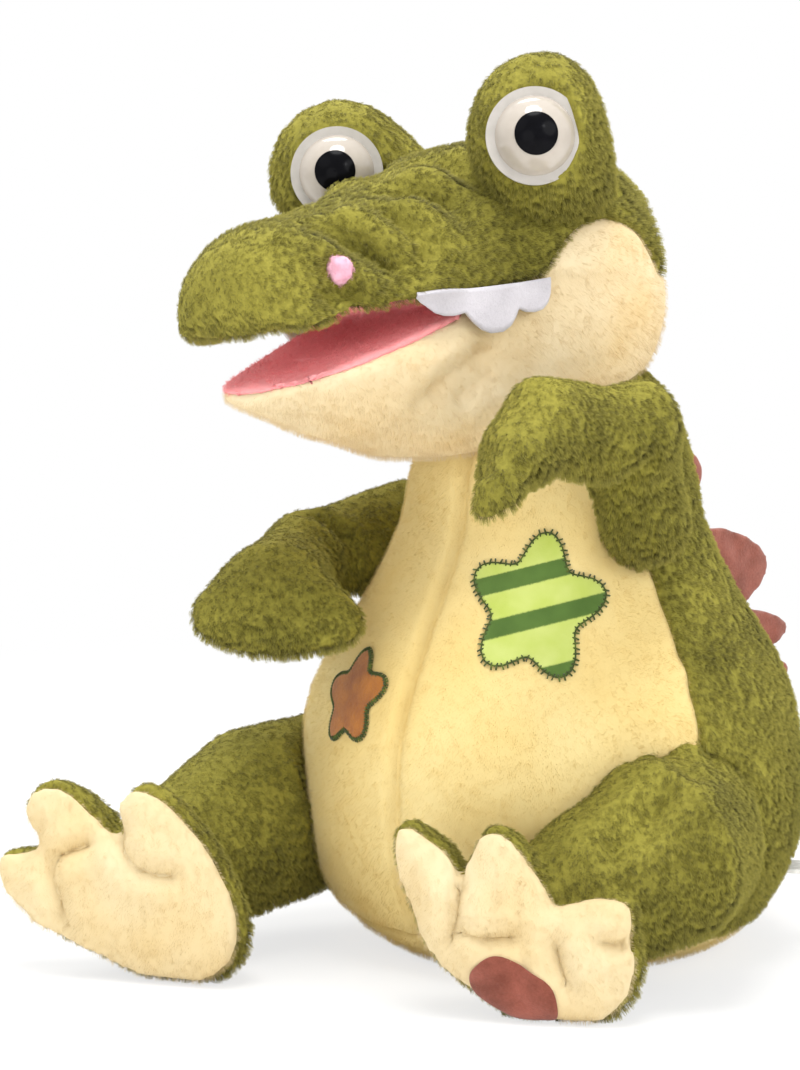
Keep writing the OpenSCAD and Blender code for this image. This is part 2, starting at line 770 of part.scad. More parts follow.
// Swells and gaps round each sole: angle from straight up, share of toe_len, half of its own angle
left_edge = [[-84, 0.75, 45], [-52, 1.54, 24], [-47, -1.23, 12], [-17, 0.39, 10], [45, -1.31, 46],
    [72, 0.67, 14], [108, 0.84, 73]];
right_edge = [[-74, 1.66, 40], [-68, -1.12, 7], [-42, 0.39, 12], [-19, -1.2, 10], [2, 0.6, 35],
    [54, 0.21, 26], [118, 0.96, 45]];
heel_down = 0.98 * (sole_r + heel_len);
function around(a) = a > 180 ? a - 360 : a < -180 ? a + 360 : a;
function bell(a, half) = exp(-pow(around(a) / half, 2));
function swells(a, edge, i = 0) =
    i < len(edge) ? toe_len * edge[i][1] * bell(a - edge[i][0], edge[i][2]) + swells(a, edge, i + 1) : 0;
function sole_edge(a, side) =
    min(sole_r + swells(a, side > 0 ? left_edge : right_edge), heel_down / max(-cos(a), 0.01));
sole_n = 72;
function sole_ring(k) = 180 - 360 * (k + 0.5) / sole_n;
function sole_outline(scale, side) = [for (k = [0:sole_n - 1]) let (a = sole_ring(k))
    scale * sole_edge(a, side) * [sin(a), cos(a)]];
// Stations of the foot behind its sole: share of the depth, share of the sole's outline
foot_st = [[1.00, 0.40], [0.92, 0.62], [0.72, 0.86], [0.42, 1.00], [0.10, 1.02], [0.00, 0.98]];
function foot_z(s) = -plush - s[0] * (foot_d - plush);
function foot_ring(s, side) = [for (p = sole_outline(s[1], side)) [p[0], p[1], foot_z(s)]];
// A small round ring in the middle of each end, so that the end closes without crossing a gap between toes
end_r = 1;
function foot_end(s) = [for (k = [0:sole_n - 1]) let (a = sole_ring(k)) [end_r * sin(a), end_r * cos(a), foot_z(s)]];
module foot_cut(side) {
    skin(concat([foot_end(foot_st[0])], [for (s = foot_st) foot_ring(s, side)], [foot_end(foot_st[5])]));
}
module foot_upper_left() color(green) at_sole(1) foot_cut(1);
module foot_upper_right() color(green) at_sole(-1) foot_cut(-1);
module sole_pad(side) {
    translate([0, 0, -plush]) linear_extrude(height = plush) polygon(sole_outline(0.98, side));
}
module sole_left() color(yellow) at_sole(1) sole_pad(1);
module sole_right() color(yellow) at_sole(-1) sole_pad(-1);
oval_at = [-6, -17];
oval_turn = -33;
oval_inside = 0.96;
module sole_oval() {
    color(brown) at_sole(1) linear_extrude(height = lining) intersection() {
        polygon(sole_outline(oval_inside, 1));
        translate(oval_at) rotate(oval_turn)
            polygon([for (k = [0:35]) [oval_len / 2 * cos(10 * k), oval_w / 2 * sin(10 * k)]]);
    }
}

// Tail: a ball in a socket low in the back, then a taper along the floor towards the right side

tail_z = 35;
tail_in = 12;
tail_turn = 184;
tail_bend = 202;
function tail_root() = (body_r(tail_z) - tail_in) * heading(tail_turn, 0) + [0, 0, tail_z];
tail_lie = 2;
function tail_at(s, r) = let (p = tail_root() + tail_len * s * heading(tail_turn + (tail_bend - tail_turn) * s, 0))
    [[p[0], p[1], r + tail_lie + (tail_z - tail_r - tail_lie) * pow(1 - s, 2)], r, r];
tail_st = [
    [tail_root(), 0.96 * tail_r, 0.96 * tail_r],
    tail_at(0.32, 0.84 * tail_r), tail_at(0.58, 0.62 * tail_r), tail_at(0.80, 0.40 * tail_r),
    tail_at(0.97, 0.20 * tail_r)];
module tail_form() {
    clear_of_body(tail_root(), 0.96 * tail_r, tail_gap) soft_tube(tail_st, [0, 0, 1]);
}
// Below its seam the tail is yellow. The seam falls with the tail's middle line.
module tail_below() {
    seam = [for (s = [tail_st[0], tail_st[2], tail_st[4]]) [norm([s[0][0], s[0][1]]), s[0][2] - 0.25 * s[1]]];
    far = tail_len + belly_r;
    rotate([0, 0, tail_turn - 90]) rotate([90, 0, 0]) linear_extrude(height = 2 * far, center = true)
        polygon(concat([[0, -far], [0, seam[0][1]]], seam, [[2 * far, seam[2][1]], [2 * far, -far]]));
}
module tail_top() color(green) difference() { tail_form(); tail_below(); }
module tail_underside() color(yellow) intersection() { tail_form(); tail_below(); }

// Sockets in the body for the balls of the arms, legs and tail
module sockets() {
    for (side = [-1, 1]) {
        translate(shoulder(side)) sphere(r = shoulder_r + soft_gap);
        translate(hip(side)) sphere(r = hip_r + soft_gap);
    }
    translate(tail_root()) sphere(r = 0.96 * tail_r + soft_gap);
}

seat_panel();
belly_panel();
back_panel();
body_stuffing();
hand_sleeve();
star_patch_left();
star_patch_right();
back_plate_1();
back_plate_2();
back_plate_3();
back_plate_4();
back_plate_5();
label();
neck_collar();
neck_sleeve();
crown();
cheek_left();
cheek_right();
head_stuffing();
finger_pocket();
throat();
throat_gusset();
palate_board();
palate_lining();
mouth_fold();
eye_bump_left();
eye_bump_right();
eye_flange_left();
eye_flange_right();
eye_dome_left();
eye_dome_right();
eye_pupil_left();
eye_pupil_right();
eye_washer_left();
eye_washer_right();
nostril_left();
nostril_right();
teeth_left();
teeth_right();
lower_jaw();
jaw_stuffing();
thumb_pocket();
jaw_board();
jaw_lining();
arm_left();
arm_right();
leg_left();
foot_upper_left();
sole_left();
sole_oval();
leg_right();
foot_upper_right();
sole_right();
tail_top();
tail_underside();
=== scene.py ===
# Seated plush crocodile hand puppet: plush skins, pile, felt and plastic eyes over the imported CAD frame.
import json
import math

import bmesh
import bpy
import numpy as np
from mathutils import Matrix, Vector, noise
from mathutils.bvhtree import BVHTree
from mathutils.kdtree import KDTree

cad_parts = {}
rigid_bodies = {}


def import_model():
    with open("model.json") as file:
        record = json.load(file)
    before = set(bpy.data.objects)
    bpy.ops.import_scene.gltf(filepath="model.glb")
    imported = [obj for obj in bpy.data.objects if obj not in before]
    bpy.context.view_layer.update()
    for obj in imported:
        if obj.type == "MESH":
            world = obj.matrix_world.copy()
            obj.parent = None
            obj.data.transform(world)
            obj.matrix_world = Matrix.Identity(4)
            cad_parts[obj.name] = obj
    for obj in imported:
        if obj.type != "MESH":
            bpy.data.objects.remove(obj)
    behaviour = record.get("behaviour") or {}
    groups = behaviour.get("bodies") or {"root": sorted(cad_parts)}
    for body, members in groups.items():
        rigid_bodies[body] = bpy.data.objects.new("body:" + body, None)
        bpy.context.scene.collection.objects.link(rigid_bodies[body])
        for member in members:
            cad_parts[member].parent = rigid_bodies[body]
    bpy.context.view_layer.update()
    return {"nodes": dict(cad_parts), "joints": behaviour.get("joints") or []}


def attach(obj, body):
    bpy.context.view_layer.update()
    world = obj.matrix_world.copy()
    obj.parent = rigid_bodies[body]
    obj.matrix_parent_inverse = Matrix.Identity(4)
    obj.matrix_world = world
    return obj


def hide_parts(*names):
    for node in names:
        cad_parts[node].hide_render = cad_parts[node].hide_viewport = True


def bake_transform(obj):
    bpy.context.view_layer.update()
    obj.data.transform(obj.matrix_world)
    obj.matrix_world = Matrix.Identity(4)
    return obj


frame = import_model()
nodes = frame["nodes"]
joints = {joint["name"]: joint for joint in frame["joints"]}
scene = bpy.context.scene
mm = 0.001
up = Vector((0, 0, 1))


def placeAt(name, data, place, aim):
    thing = bpy.data.objects.new(name, data)
    scene.collection.objects.link(thing)
    thing.location = place
    thing.rotation_mode = "QUATERNION"
    thing.rotation_quaternion = (Vector(aim) - Vector(place)).to_track_quat("-Z", "Y")
    return thing


# camera of the photograph: about 40 degrees to the puppet's left, a little above the belly
photoView = {"at": (0.7209, -0.9350, 0.2563), "aim": (-0.0462, -0.0208, 0.1309), "lens": 124.2, "sensor": 36}
camera = placeAt("photoCamera", bpy.data.cameras.new("photoCamera"), photoView["at"], photoView["aim"])
camera.data.lens = photoView["lens"]
camera.data.sensor_width = photoView["sensor"]
scene.camera = camera


# materials

def hexColor(text):
    parts = [int(text[k:k + 2], 16) / 255 for k in (0, 2, 4)]
    return tuple(p / 12.92 if p <= 0.04045 else ((p + 0.055) / 1.055) ** 2.4 for p in parts) + (1.0,)


def addNode(tree, kind, settings=None, inputs=None):
    node = tree.nodes.new("ShaderNode" + kind)
    for key, value in (settings or {}).items():
        setattr(node, key, value)
    for key, value in (inputs or {}).items():
        if isinstance(value, bpy.types.NodeSocket):
            tree.links.new(value, node.inputs[key])
        else:
            node.inputs[key].default_value = value
    return node


def newMaterial(name):
    material = bpy.data.materials.new(name)
    material.use_nodes = True
    material.node_tree.nodes.clear()
    return material, material.node_tree


def perMetre(sizeMm):  # texture scale at which one feature is that many millimetres
    return 1 / (sizeMm * mm)


def objectSpot(tree):
    return addNode(tree, "TexCoord").outputs["Object"]


def mottled(tree, spot, sizeMm, detail, roughness=0.5):
    return addNode(tree, "TexNoise", None, {"Vector": spot, "Scale": perMetre(sizeMm), "Detail": detail,
                                            "Roughness": roughness}).outputs["Fac"]


def maths(tree, operation, *values):
    return addNode(tree, "Math", {"operation": operation}, dict(enumerate(values))).outputs[0]


def spread(tree, value, low, high):
    return addNode(tree, "MapRange", None, {"Value": value, "From Min": low, "From Max": high}).outputs[0]


def tinted(tree, share, dark, light):
    return addNode(tree, "Mix", {"data_type": "RGBA"}, {0: share, 6: hexColor(dark), 7: hexColor(light)}).outputs[2]


def bumped(tree, height, strength, depthMm):
    return addNode(tree, "Bump", None, {"Height": height, "Strength": strength, "Distance": depthMm * mm}).outputs[0]


def addSurface(tree, tint, normal, roughness, shine, more):
    inputs = {"Base Color": tint, "Normal": normal, "Roughness": roughness, "Specular IOR Level": shine}
    shader = addNode(tree, "BsdfPrincipled", None, {**inputs, **more})
    addNode(tree, "OutputMaterial", None, {"Surface": shader.outputs[0]})


def makePlush(name, finish):
    # velboa plush, a cut knitted pile: matte, a soft edge of light, patches where the nap lies another way
    material, tree = newMaterial(name)
    spot = objectSpot(tree)
    nap = mottled(tree, spot, finish["napMm"], 1.0, 0.4)
    tuft = mottled(tree, spot, finish["tuftMm"], 2.0, 0.7)
    fine = maths(tree, "MULTIPLY", tuft, finish["tufty"] * 2)
    both = maths(tree, "MULTIPLY_ADD", nap, finish["patchy"], fine)
    middle = finish["tufty"] + 0.5 * finish["patchy"]
    tint = tinted(tree, spread(tree, both, middle - 0.5, middle + 0.5), finish["dark"], finish["light"])
    addSurface(tree, tint, bumped(tree, tuft, finish["rough"], finish["tuftMm"] * 0.5), 0.9, 0.15,
               {"Sheen Weight": 0.35, "Sheen Roughness": 0.5, "Sheen Tint": hexColor(finish["light"])})
    return material


def makePile(name, finish):
    # the cut polyester strands themselves: darker at the root as painted shade, paler at the tip as a painted
    # highlight, each a little different
    material, tree = newMaterial(name)
    strand = addNode(tree, "HairInfo").outputs
    spot = objectSpot(tree)
    nap = mottled(tree, spot, finish["napMm"], 1.0, 0.4)
    tuft = mottled(tree, spot, finish["tuftMm"], 1.0, 0.6)
    # the strand's place along its length paints shade at the root and a highlight at the tip
    tip = maths(tree, "MULTIPLY", strand["Intercept"], finish["rootShadeTipSheen"])
    along = maths(tree, "MULTIPLY_ADD", strand["Random"], finish["mixed"], tip)
    bunch = maths(tree, "MULTIPLY_ADD", tuft, finish["tufty"] * 2, along)
    patch = maths(tree, "MULTIPLY_ADD", nap, finish["patchy"], bunch)
    # half way along a middling strand
    usual = 0.5 * (finish["mixed"] + finish["patchy"] + finish["rootShadeTipSheen"]) + finish["tufty"]
    tint = tinted(tree, spread(tree, patch, usual - 0.55, usual + 0.45), finish["dark"], finish["light"])
    shader = addNode(tree, "BsdfPrincipled", None,
                     {"Base Color": tint, "Roughness": 0.55, "Specular IOR Level": finish["shine"]})
    through = addNode(tree, "BsdfTranslucent", None, {"Color": tint})
    both = addNode(tree, "MixShader", None, {0: 0.25, 1: shader.outputs[0], 2: through.outputs[0]})
    addNode(tree, "OutputMaterial", None, {"Surface": both.outputs[0]})
    return material


def makeFelt(name, finish):
    # pressed wool felt: matted fibres, no weave, slightly mottled, fuzzy cut edge
    material, tree = newMaterial(name)
    spot = objectSpot(tree)
    fibre = mottled(tree, spot, finish["fibreMm"], 4.0, 0.75)
    mottle = mottled(tree, spot, finish["mottleMm"], 2.0)
    both = maths(tree, "MULTIPLY_ADD", fibre, 0.6, mottle)
    tint = tinted(tree, spread(tree, both, 0.55, 1.05), finish["dark"], finish["light"])
    addSurface(tree, tint, bumped(tree, fibre, 0.6, 0.4), 0.95, 0.1, {"Sheen Weight": 0.3, "Sheen Roughness": 0.6})
    return material


def makeCloth(name, finish):
    # plain woven polyester: fine over-and-under threads, drawn at the pitch given so that they show
    material, tree = newMaterial(name)
    spot = objectSpot(tree)
    threads = [addNode(tree, "TexWave", {"bands_direction": way},
                       {"Vector": spot, "Scale": perMetre(finish["threadMm"]) / 20, "Distortion": 0.4,
                        "Detail": 1.0, "Detail Scale": 2.0}).outputs["Fac"] for way in finish["ways"]]
    weave = maths(tree, "MULTIPLY", *threads)
    tint = tinted(tree, weave, finish["dark"], finish["light"])
    addSurface(tree, tint, bumped(tree, weave, 0.4, 0.2), finish["roughness"], 0.3, {"Sheen Weight": 0.2})
    return material


def makePlastic(name, finish):
    # injection-moulded plastic: smooth gloss with the faint orange peel of the mould
    material, tree = newMaterial(name)
    peel = mottled(tree, objectSpot(tree), 3.0, 1.0)
    tint = tinted(tree, peel, finish["dark"], finish["light"])
    addSurface(tree, tint, bumped(tree, peel, 0.08, 0.1), finish["roughness"], finish["shine"],
               {"IOR": 1.49, "Coat Weight": finish["coat"], "Coat Roughness": 0.05,
                "Subsurface Weight": finish["milky"], "Subsurface Radius": (0.004, 0.004, 0.004)})
    return material


def makeStriped(name, finish):
    # velour printed with dark bands: short pile, a little mottled, the bands' edges soft where the dye ran
    material, tree = newMaterial(name)
    spot = objectSpot(tree)
    fibre = mottled(tree, spot, finish["fibreMm"], 3.0, 0.7)
    mottle = mottled(tree, spot, finish["mottleMm"], 2.0)
    height = addNode(tree, "VectorMath", {"operation": "DOT_PRODUCT"}, {0: spot, 1: finish["across"]}).outputs["Value"]
    ragged = maths(tree, "MULTIPLY_ADD", fibre, 0.6 * mm, height)
    stripe = addNode(tree, "ValToRGB", None, {"Fac": spread(tree, ragged, finish["from"] * mm, finish["to"] * mm)})
    ramp = stripe.color_ramp
    while len(ramp.elements) < 4 * len(finish["bands"]):
        ramp.elements.new(0.5)
    stops, ran = [], 0.2
    for low, high in finish["bands"]:
        stops += [(low - ran, 0), (low + ran, 1), (high - ran, 1), (high + ran, 0)]
    for element, (at, level) in zip(ramp.elements, stops):
        element.position = (at - finish["from"]) / (finish["to"] - finish["from"])
        element.color = (level, level, level, 1)
    lime, green = (tinted(tree, mottle, *finish[pair]) for pair in ("lime", "green"))
    tint = addNode(tree, "Mix", {"data_type": "RGBA"}, {0: stripe.outputs["Color"], 6: lime, 7: green}).outputs[2]
    addSurface(tree, tint, bumped(tree, fibre, 0.4, 0.3), 0.8, 0.2, {"Sheen Weight": 0.3, "Sheen Roughness": 0.5})
    return material


# in the pile, each finish's share along the strands paints shade at the roots and a highlight at the tips
greenFinish = {"dark": "2e2b02", "light": "a8a046", "napMm": 22.0, "tuftMm": 1.5, "mixed": 0.4, "patchy": 0.6,
               "tufty": 0.26, "rootShadeTipSheen": 0.9, "shine": 0.4, "rough": 0.4}
yellowFinish = {"dark": "d2b46a", "light": "e6d6a0", "napMm": 36.0, "tuftMm": 1.6, "mixed": 0.1, "patchy": 0.9,
                "tufty": 0.02, "rootShadeTipSheen": 0.2, "shine": 0.12, "rough": 0.12}
# a paler copy of the yellow for the face's panels, as painted light, and a darker one for the soles, as painted shade
litFaceYellowFinish = dict(yellowFinish, dark="d4b67c", light="e2d6ba", napMm=28.0)
shadedSoleFinish = dict(litFaceYellowFinish, dark="c8ac72", light="dcd0b0")
pinkFinish = {"dark": "e87878", "light": "f6b8ba", "napMm": 14.0, "tuftMm": 0.9, "mixed": 0.3, "patchy": 0.2,
              "tufty": 0.1, "rootShadeTipSheen": 0.6, "shine": 0.1, "rough": 0.4}
knotFinish = dict(pinkFinish, dark="d898ae", light="eabccb", napMm=6.0)
velboa = {"longMm": 2.4, "perMm2": 0.55, "children": 11, "tuftMm": 1.0, "clump": 0.45, "frizz": 0.2,
          "stand": 0.6, "wild": 0.22, "nap": (0, 0.2, -0.5), "thickMm": 0.16, "seed": 3}
headVelboa = dict(velboa, nap=(0.1, 0.5, -0.2))
softVelboa = dict(velboa, longMm=1.3, perMm2=0.6, children=4, clump=0.0, wild=0.1, tuftMm=1.2, stand=0.8, thickMm=0.12)
velour = {"longMm": 0.9, "perMm2": 0.5, "children": 5, "tuftMm": 0.8, "clump": 0.2, "frizz": 0.15,
          "stand": 0.9, "wild": 0.3, "nap": (0, 0.1, -0.2), "thickMm": 0.16, "seed": 3}


def makeSet(name, pileName, slot, pile, finish):  # a cloth, its slot, its pile and the pile's strands
    return makePlush(name, finish), slot, pile, makePile(pileName, finish)


greenSet = makeSet("greenVelboaPlush", "greenVelboaPile", "green_plush", velboa, greenFinish)
crownSet = greenSet[:2] + (headVelboa, greenSet[3])
yellowSet = makeSet("yellowVelboaPlush", "yellowVelboaPile", "yellow_plush", softVelboa, yellowFinish)
# copies of the yellow cloth: a paler one for the face's panels, as painted light, and a darker one for the soles, as
# painted shade
litFaceYellowSet = makeSet("litFaceYellowVelboaPlush", "litFaceYellowVelboaPile", "yellow_plush", softVelboa, litFaceYellowFinish)
shadedSoleSet = makeSet("shadedSoleVelboaPlush", "shadedSoleVelboaPile", "yellow_plush", softVelboa, shadedSoleFinish)
pinkSet = makeSet("pinkKnitVelour", "pinkVelourPile", "pink_velour", velour, pinkFinish)
knotSet = makeSet("palePinkVelour", "palePinkVelourPile", "pink_velour", velour, knotFinish)
brownFelt = makeFelt("brownWoolFelt", {"dark": "6c3220", "light": "935040", "fibreMm": 0.9, "mottleMm": 9.0})
whiteFelt = makeFelt("whiteWoolFelt", {"dark": "b2aeb3", "light": "c4c0c5", "fibreMm": 0.9, "mottleMm": 9.0})
liningCloth = makeCloth("whitePolyesterLining", {"dark": "d9d6cd", "light": "f1efe8", "threadMm": 0.8, "ways": "XZ",
                                                 "roughness": 0.8})
labelTape = makeCloth("whiteWovenTape", {"dark": "e0dfdb", "light": "f6f5f2", "threadMm": 0.5, "ways": "XY",
                                         "roughness": 0.6})
mouthBoard = makeCloth("greyCardboard", {"dark": "9d9485", "light": "b3aa9a", "threadMm": 1.5, "ways": "XY",
                                         "roughness": 0.9})
sewingThread = makeCloth("darkGreenSewingThread", {"dark": "36440f", "light": "56661c", "threadMm": 0.5, "ways": "XZ",
                                                   "roughness": 0.7})
eyeWhite = makePlastic("whitePolypropyleneGloss", {"dark": "aaa196", "light": "b4aba0", "roughness": 0.1, "coat": 0.2,
                                                   "milky": 0.1, "shine": 0.5})
eyeFlange = makePlastic("milkyPolypropylene", {"dark": "a7a29b", "light": "b6b1ab", "roughness": 0.3, "coat": 0.1,
                                               "milky": 0.2, "shine": 0.4})
eyeBlack = makePlastic("blackAcrylicGloss", {"dark": "060608", "light": "0c0c10", "roughness": 0.16, "coat": 0.0,
                                             "milky": 0.0, "shine": 0.06})
washerPlastic = makePlastic("naturalPolyethylene", {"dark": "cfccc4", "light": "dedbd3", "roughness": 0.4, "coat": 0.0,
                                                    "milky": 0.2, "shine": 0.4})
print("materials:", len(bpy.data.materials))


# shared mesh work

def readAll(items, key, width, kind=float):
    flat = np.empty(len(items) * width, kind)
    items.foreach_get(key, flat)
    return flat.reshape(-1, width)


def getPoints(piece):
    return readAll(piece.data.vertices, "co", 3)


def getNormals(piece):
    return readAll(piece.data.vertex_normals, "vector", 3, np.float32).astype(float)


def getEnds(mesh):
    return readAll(mesh.edges, "vertices", 2, np.int32)


def faceCentres(piece):
    return readAll(piece.data.polygons, "center", 3)


def nodeShape(names):
    points, triangles, owners, first = [], [], [], 0
    for k, name in enumerate(names):
        mesh = nodes[name].data
        mesh.calc_loop_triangles()
        points.append(getPoints(nodes[name]))
        triangles.append(readAll(mesh.loop_triangles, "vertices", 3, np.int32) + first)
        owners.append(np.full(len(triangles[-1]), k))
        first += len(points[-1])
    return np.vstack(points), np.vstack(triangles), np.concatenate(owners)


def nodeTree(names):
    points, triangles, owners = nodeShape(names)
    return BVHTree.FromPolygons(points.tolist(), triangles.tolist()), owners


def newObject(name, mesh):
    made = bpy.data.objects.new(name, mesh)
    scene.collection.objects.link(made)
    return made


def shadeSmooth(mesh):
    mesh.polygons.foreach_set("use_smooth", np.ones(len(mesh.polygons), bool))


def newPiece(name, points, faces):
    mesh = bpy.data.meshes.new(name)
    mesh.from_pydata(points, [], faces)
    mesh.update()
    shadeSmooth(mesh)
    return newObject(name, mesh)


def setPoints(piece, co):
    piece.data.vertices.foreach_set("co", co.astype(np.float32).ravel())
    piece.data.update()


def pushOut(piece, farMm):  # each point along its normal
    setPoints(piece, getPoints(piece) + getNormals(piece) * np.reshape(farMm * mm, (-1, 1)))


def makeSkin(name, names, look, filler=None):
    points, triangles, owners = nodeShape(names)
    triangles = triangles.tolist()
    if filler:  # a closed mesh that joins the named solids where cloth would span the step between them
        triangles += [[k + len(points) for k in face] for face in filler[1]]
        points = np.vstack([points, filler[0]])
    skin = newPiece(name, points.tolist(), triangles)
    even = skin.modifiers.new("even", "REMESH")
    even.mode, even.voxel_size, even.use_smooth_shade = "VOXEL", look["voxel"] * mm, True
    soft = skin.modifiers.new("soft", "SMOOTH")
    soft.factor, soft.iterations = 0.5, look["rounds"]
    shaped = bpy.data.meshes.new_from_object(skin.evaluated_get(bpy.context.evaluated_depsgraph_get()))
    skin.modifiers.clear()
    skin.data = shaped
    if "grow" in look:
        pushOut(skin, look["grow"])
    return skin


def meshTree(piece):
    return BVHTree.FromPolygons(getPoints(piece).tolist(), [p.vertices[:] for p in piece.data.polygons])


def lineDistance(co, line):  # distance to a line of points, and how far along it that is, from 0 to 1
    line = np.array(line, float)
    steps = np.linalg.norm(line[1:] - line[:-1], axis=1)
    done, best, share = 0.0, np.full(len(co), 1e9), np.zeros(len(co))
    for a, b, step in zip(line[:-1], line[1:], steps):
        along = np.clip((co - a) @ (b - a) / step ** 2, 0, 1)
        far = np.linalg.norm(co - a - along[:, None] * (b - a), axis=1)
        share = np.where(far < best, (done + along * step) / steps.sum(), share)
        best = np.minimum(best, far)
        done += step
    return best, share


def pressFold(piece, line, widthMm, depthMm):  # a fold in the cloth: a crease that dies out, a soft swell on each side
    tree = meshTree(piece)
    far, share = lineDistance(getPoints(piece), [tree.find_nearest(Vector(p) * mm)[0] for p in line])
    far = far / (widthMm * mm)
    fade = np.clip(6 * share * (1 - share) + 0.35, 0, 1)
    fold = np.exp(-far ** 2) - 0.4 * np.exp(-(far - 2.1) ** 2)
    pushOut(piece, -(fold * fade * depthMm))


def relax(piece, share, rounds):  # evens a mesh out where share is above 0
    ends, co = getEnds(piece.data), getPoints(piece)
    count = np.maximum(np.bincount(ends.ravel(), minlength=len(co)), 1)[:, None]
    for step in range(rounds):
        total = np.zeros_like(co)
        np.add.at(total, ends[:, 0], co[ends[:, 1]])
        np.add.at(total, ends[:, 1], co[ends[:, 0]])
        co += (total / count - co) * share[:, None] * 0.5
    setPoints(piece, co)


def lump(piece, sizeMm, depthMm, seed):  # uneven stuffing under the cloth
    spots = [Vector(c) * perMetre(sizeMm) + Vector((seed, 0, 0)) for c in getPoints(piece).tolist()]
    pushOut(piece, np.array([noise.noise(spot) for spot in spots]) * depthMm)


def facePairs(mesh):  # the edges that lie between two faces, with those faces
    count = readAll(mesh.polygons, "loop_total", 1, np.int32)[:, 0]
    edge = readAll(mesh.loops, "edge_index", 1, np.int32)[:, 0]
    face = np.repeat(np.arange(len(count)), count)
    order = np.argsort(edge, kind="stable")
    edge, face = edge[order], face[order]
    twin = np.nonzero(edge[:-1] == edge[1:])[0]
    return edge[twin], face[twin], face[twin + 1]


def cutPanels(skin, panels, seam, centre, trim=None):
    # panels: piece name -> its CAD nodes; faces nearest to the nodes under "" are left out
    # centre: where the faces lay before any fold was pressed in; trim moves a border
    mesh, keys = skin.data, list(panels)
    groupOf = np.array([k for k, key in enumerate(keys) for n in panels[key]])
    tree, owners = nodeTree([n for group in panels.values() for n in group])
    nearest = [tree.find_nearest(c)[2] for c in centre.tolist()]
    label = groupOf[owners[np.array(nearest)]]
    if trim:
        label = trim(centre, label, keys)
    edge, left, right = facePairs(mesh)
    for step in range(4):  # a face goes with most of its neighbours, so that no specks are left
        votes = np.zeros((len(label), len(keys)))
        np.add.at(votes, (left, label[right]), 1)
        np.add.at(votes, (right, label[left]), 1)
        votes[np.arange(len(label)), label] += 1.5
        label = votes.argmax(1)
    border = getEnds(mesh)[edge[label[left] != label[right]]]
    co = getPoints(skin)
    for step in range(seam["even"]):  # the seam runs as one smooth line
        total, count = np.zeros_like(co), np.zeros(len(co))
        for a, b in ((0, 1), (1, 0)):
            np.add.at(total, border[:, a], co[border[:, b]])
            np.add.at(count, border[:, a], 1)
        on = count > 1
        co[on] = 0.5 * co[on] + 0.5 * total[on] / count[on][:, None]
    setPoints(skin, co)
    sewn = np.unique(border)
    tree = KDTree(len(sewn))
    for k, v in enumerate(sewn):
        tree.insert(co[v], k)
    tree.balance()
    away = np.array([tree.find(c)[2] for c in co.tolist()])
    dip = np.exp(-(away / (seam["wide"] * mm)) ** 2) * seam["deep"] * mm
    if "puffed" in seam:  # a stuffed panel swells between its seams
        inside = np.zeros(len(co), bool)
        for f in np.nonzero(label == keys.index(seam["puffed"]))[0]:
            inside[list(mesh.polygons[f].vertices)] = True
        dip -= inside * (1 - np.exp(-(away / (seam["puffWide"] * mm)) ** 2)) * seam["puff"] * mm
    setPoints(skin, co - getNormals(skin) * dip[:, None])
    made = {}
    for k, key in enumerate(keys):
        if not key:
            continue
        cut = bmesh.new()
        cut.from_mesh(mesh)
        cut.faces.ensure_lookup_table()
        bmesh.ops.delete(cut, geom=[cut.faces[i] for i in np.nonzero(label != k)[0]], context="FACES")
        shape = bpy.data.meshes.new(key)
        cut.to_mesh(shape)
        cut.free()
        shadeSmooth(shape)
        made[key] = newObject(key, shape)
    bpy.data.objects.remove(skin)
    return made


def addBacking(piece, thickMm=1.2):  # the knitted ground under the pile, so that a panel is a closed piece
    backing = piece.modifiers.new("backing", "SOLIDIFY")
    backing.thickness, backing.offset, backing.use_quality_normals = thickMm * mm, -1, True


def addPile(piece, pileMaterial, pile):
    area = sum(p.area for p in piece.data.polygons) / mm ** 2
    piece.data.materials.append(pileMaterial)
    piece.modifiers.new("pile", "PARTICLE_SYSTEM")
    system = piece.particle_systems[-1]
    system.seed = pile["seed"]
    if "pile" in piece.vertex_groups:
        system.vertex_group_density = "pile"
    hair = system.settings
    hair.type = "HAIR"
    hair.use_modifier_stack = False
    hair.use_advanced_hair = True
    hair.emit_from = "FACE"
    hair.count = max(50, int(area * pile["perMm2"] * (1)))
    hair.hair_step = 3
    speed = pile["longMm"] * mm / 4  # Blender's hair is four times as long as its start speed
    hair.normal_factor = speed * pile["stand"]
    hair.object_align_factor = Vector(pile["nap"]) * speed
    hair.factor_random = speed * pile["wild"]
    hair.child_type = "SIMPLE"
    hair.child_percent = 1
    hair.rendered_child_count = pile["children"]
    hair.child_radius = pile["tuftMm"] * mm
    hair.child_roundness = 0.3
    hair.clump_factor = pile["clump"]
    hair.clump_shape = 0.2
    hair.roughness_2 = 0.0
    hair.roughness_endpoint = pile["frizz"] * mm
    hair.child_length = 1.0
    hair.child_length_threshold = 0.0
    hair.use_hair_bspline = False
    hair.root_radius, hair.tip_radius, hair.radius_scale = 1.0, 0.35, pile["thickMm"] * mm / 2
    hair.shape = 0.0
    hair.material = len(piece.data.materials)


def keepBare(piece, trees, reachMm):  # no pile grows under a patch
    share = np.ones(len(piece.data.vertices))
    for k, c in enumerate(getPoints(piece).tolist()):
        if any(tree.find_nearest(c, reachMm * mm)[0] is not None for tree in trees):
            share[k] = 0
    group = piece.vertex_groups.new(name="pile")
    for level in (0.0, 1.0):
        group.add(np.nonzero(share == level)[0].tolist(), level, "REPLACE")


def dress(piece, cloth, slot, pile=None, pileMaterial=None, backing=1.2):
    piece.data.materials.clear()
    piece.data.materials.append(cloth)
    if pile:
        addPile(piece, pileMaterial, pile)
    if backing:
        addBacking(piece, backing)
    return piece


sewnSeam = {"even": 14, "wide": 1.8, "deep": 1.3}


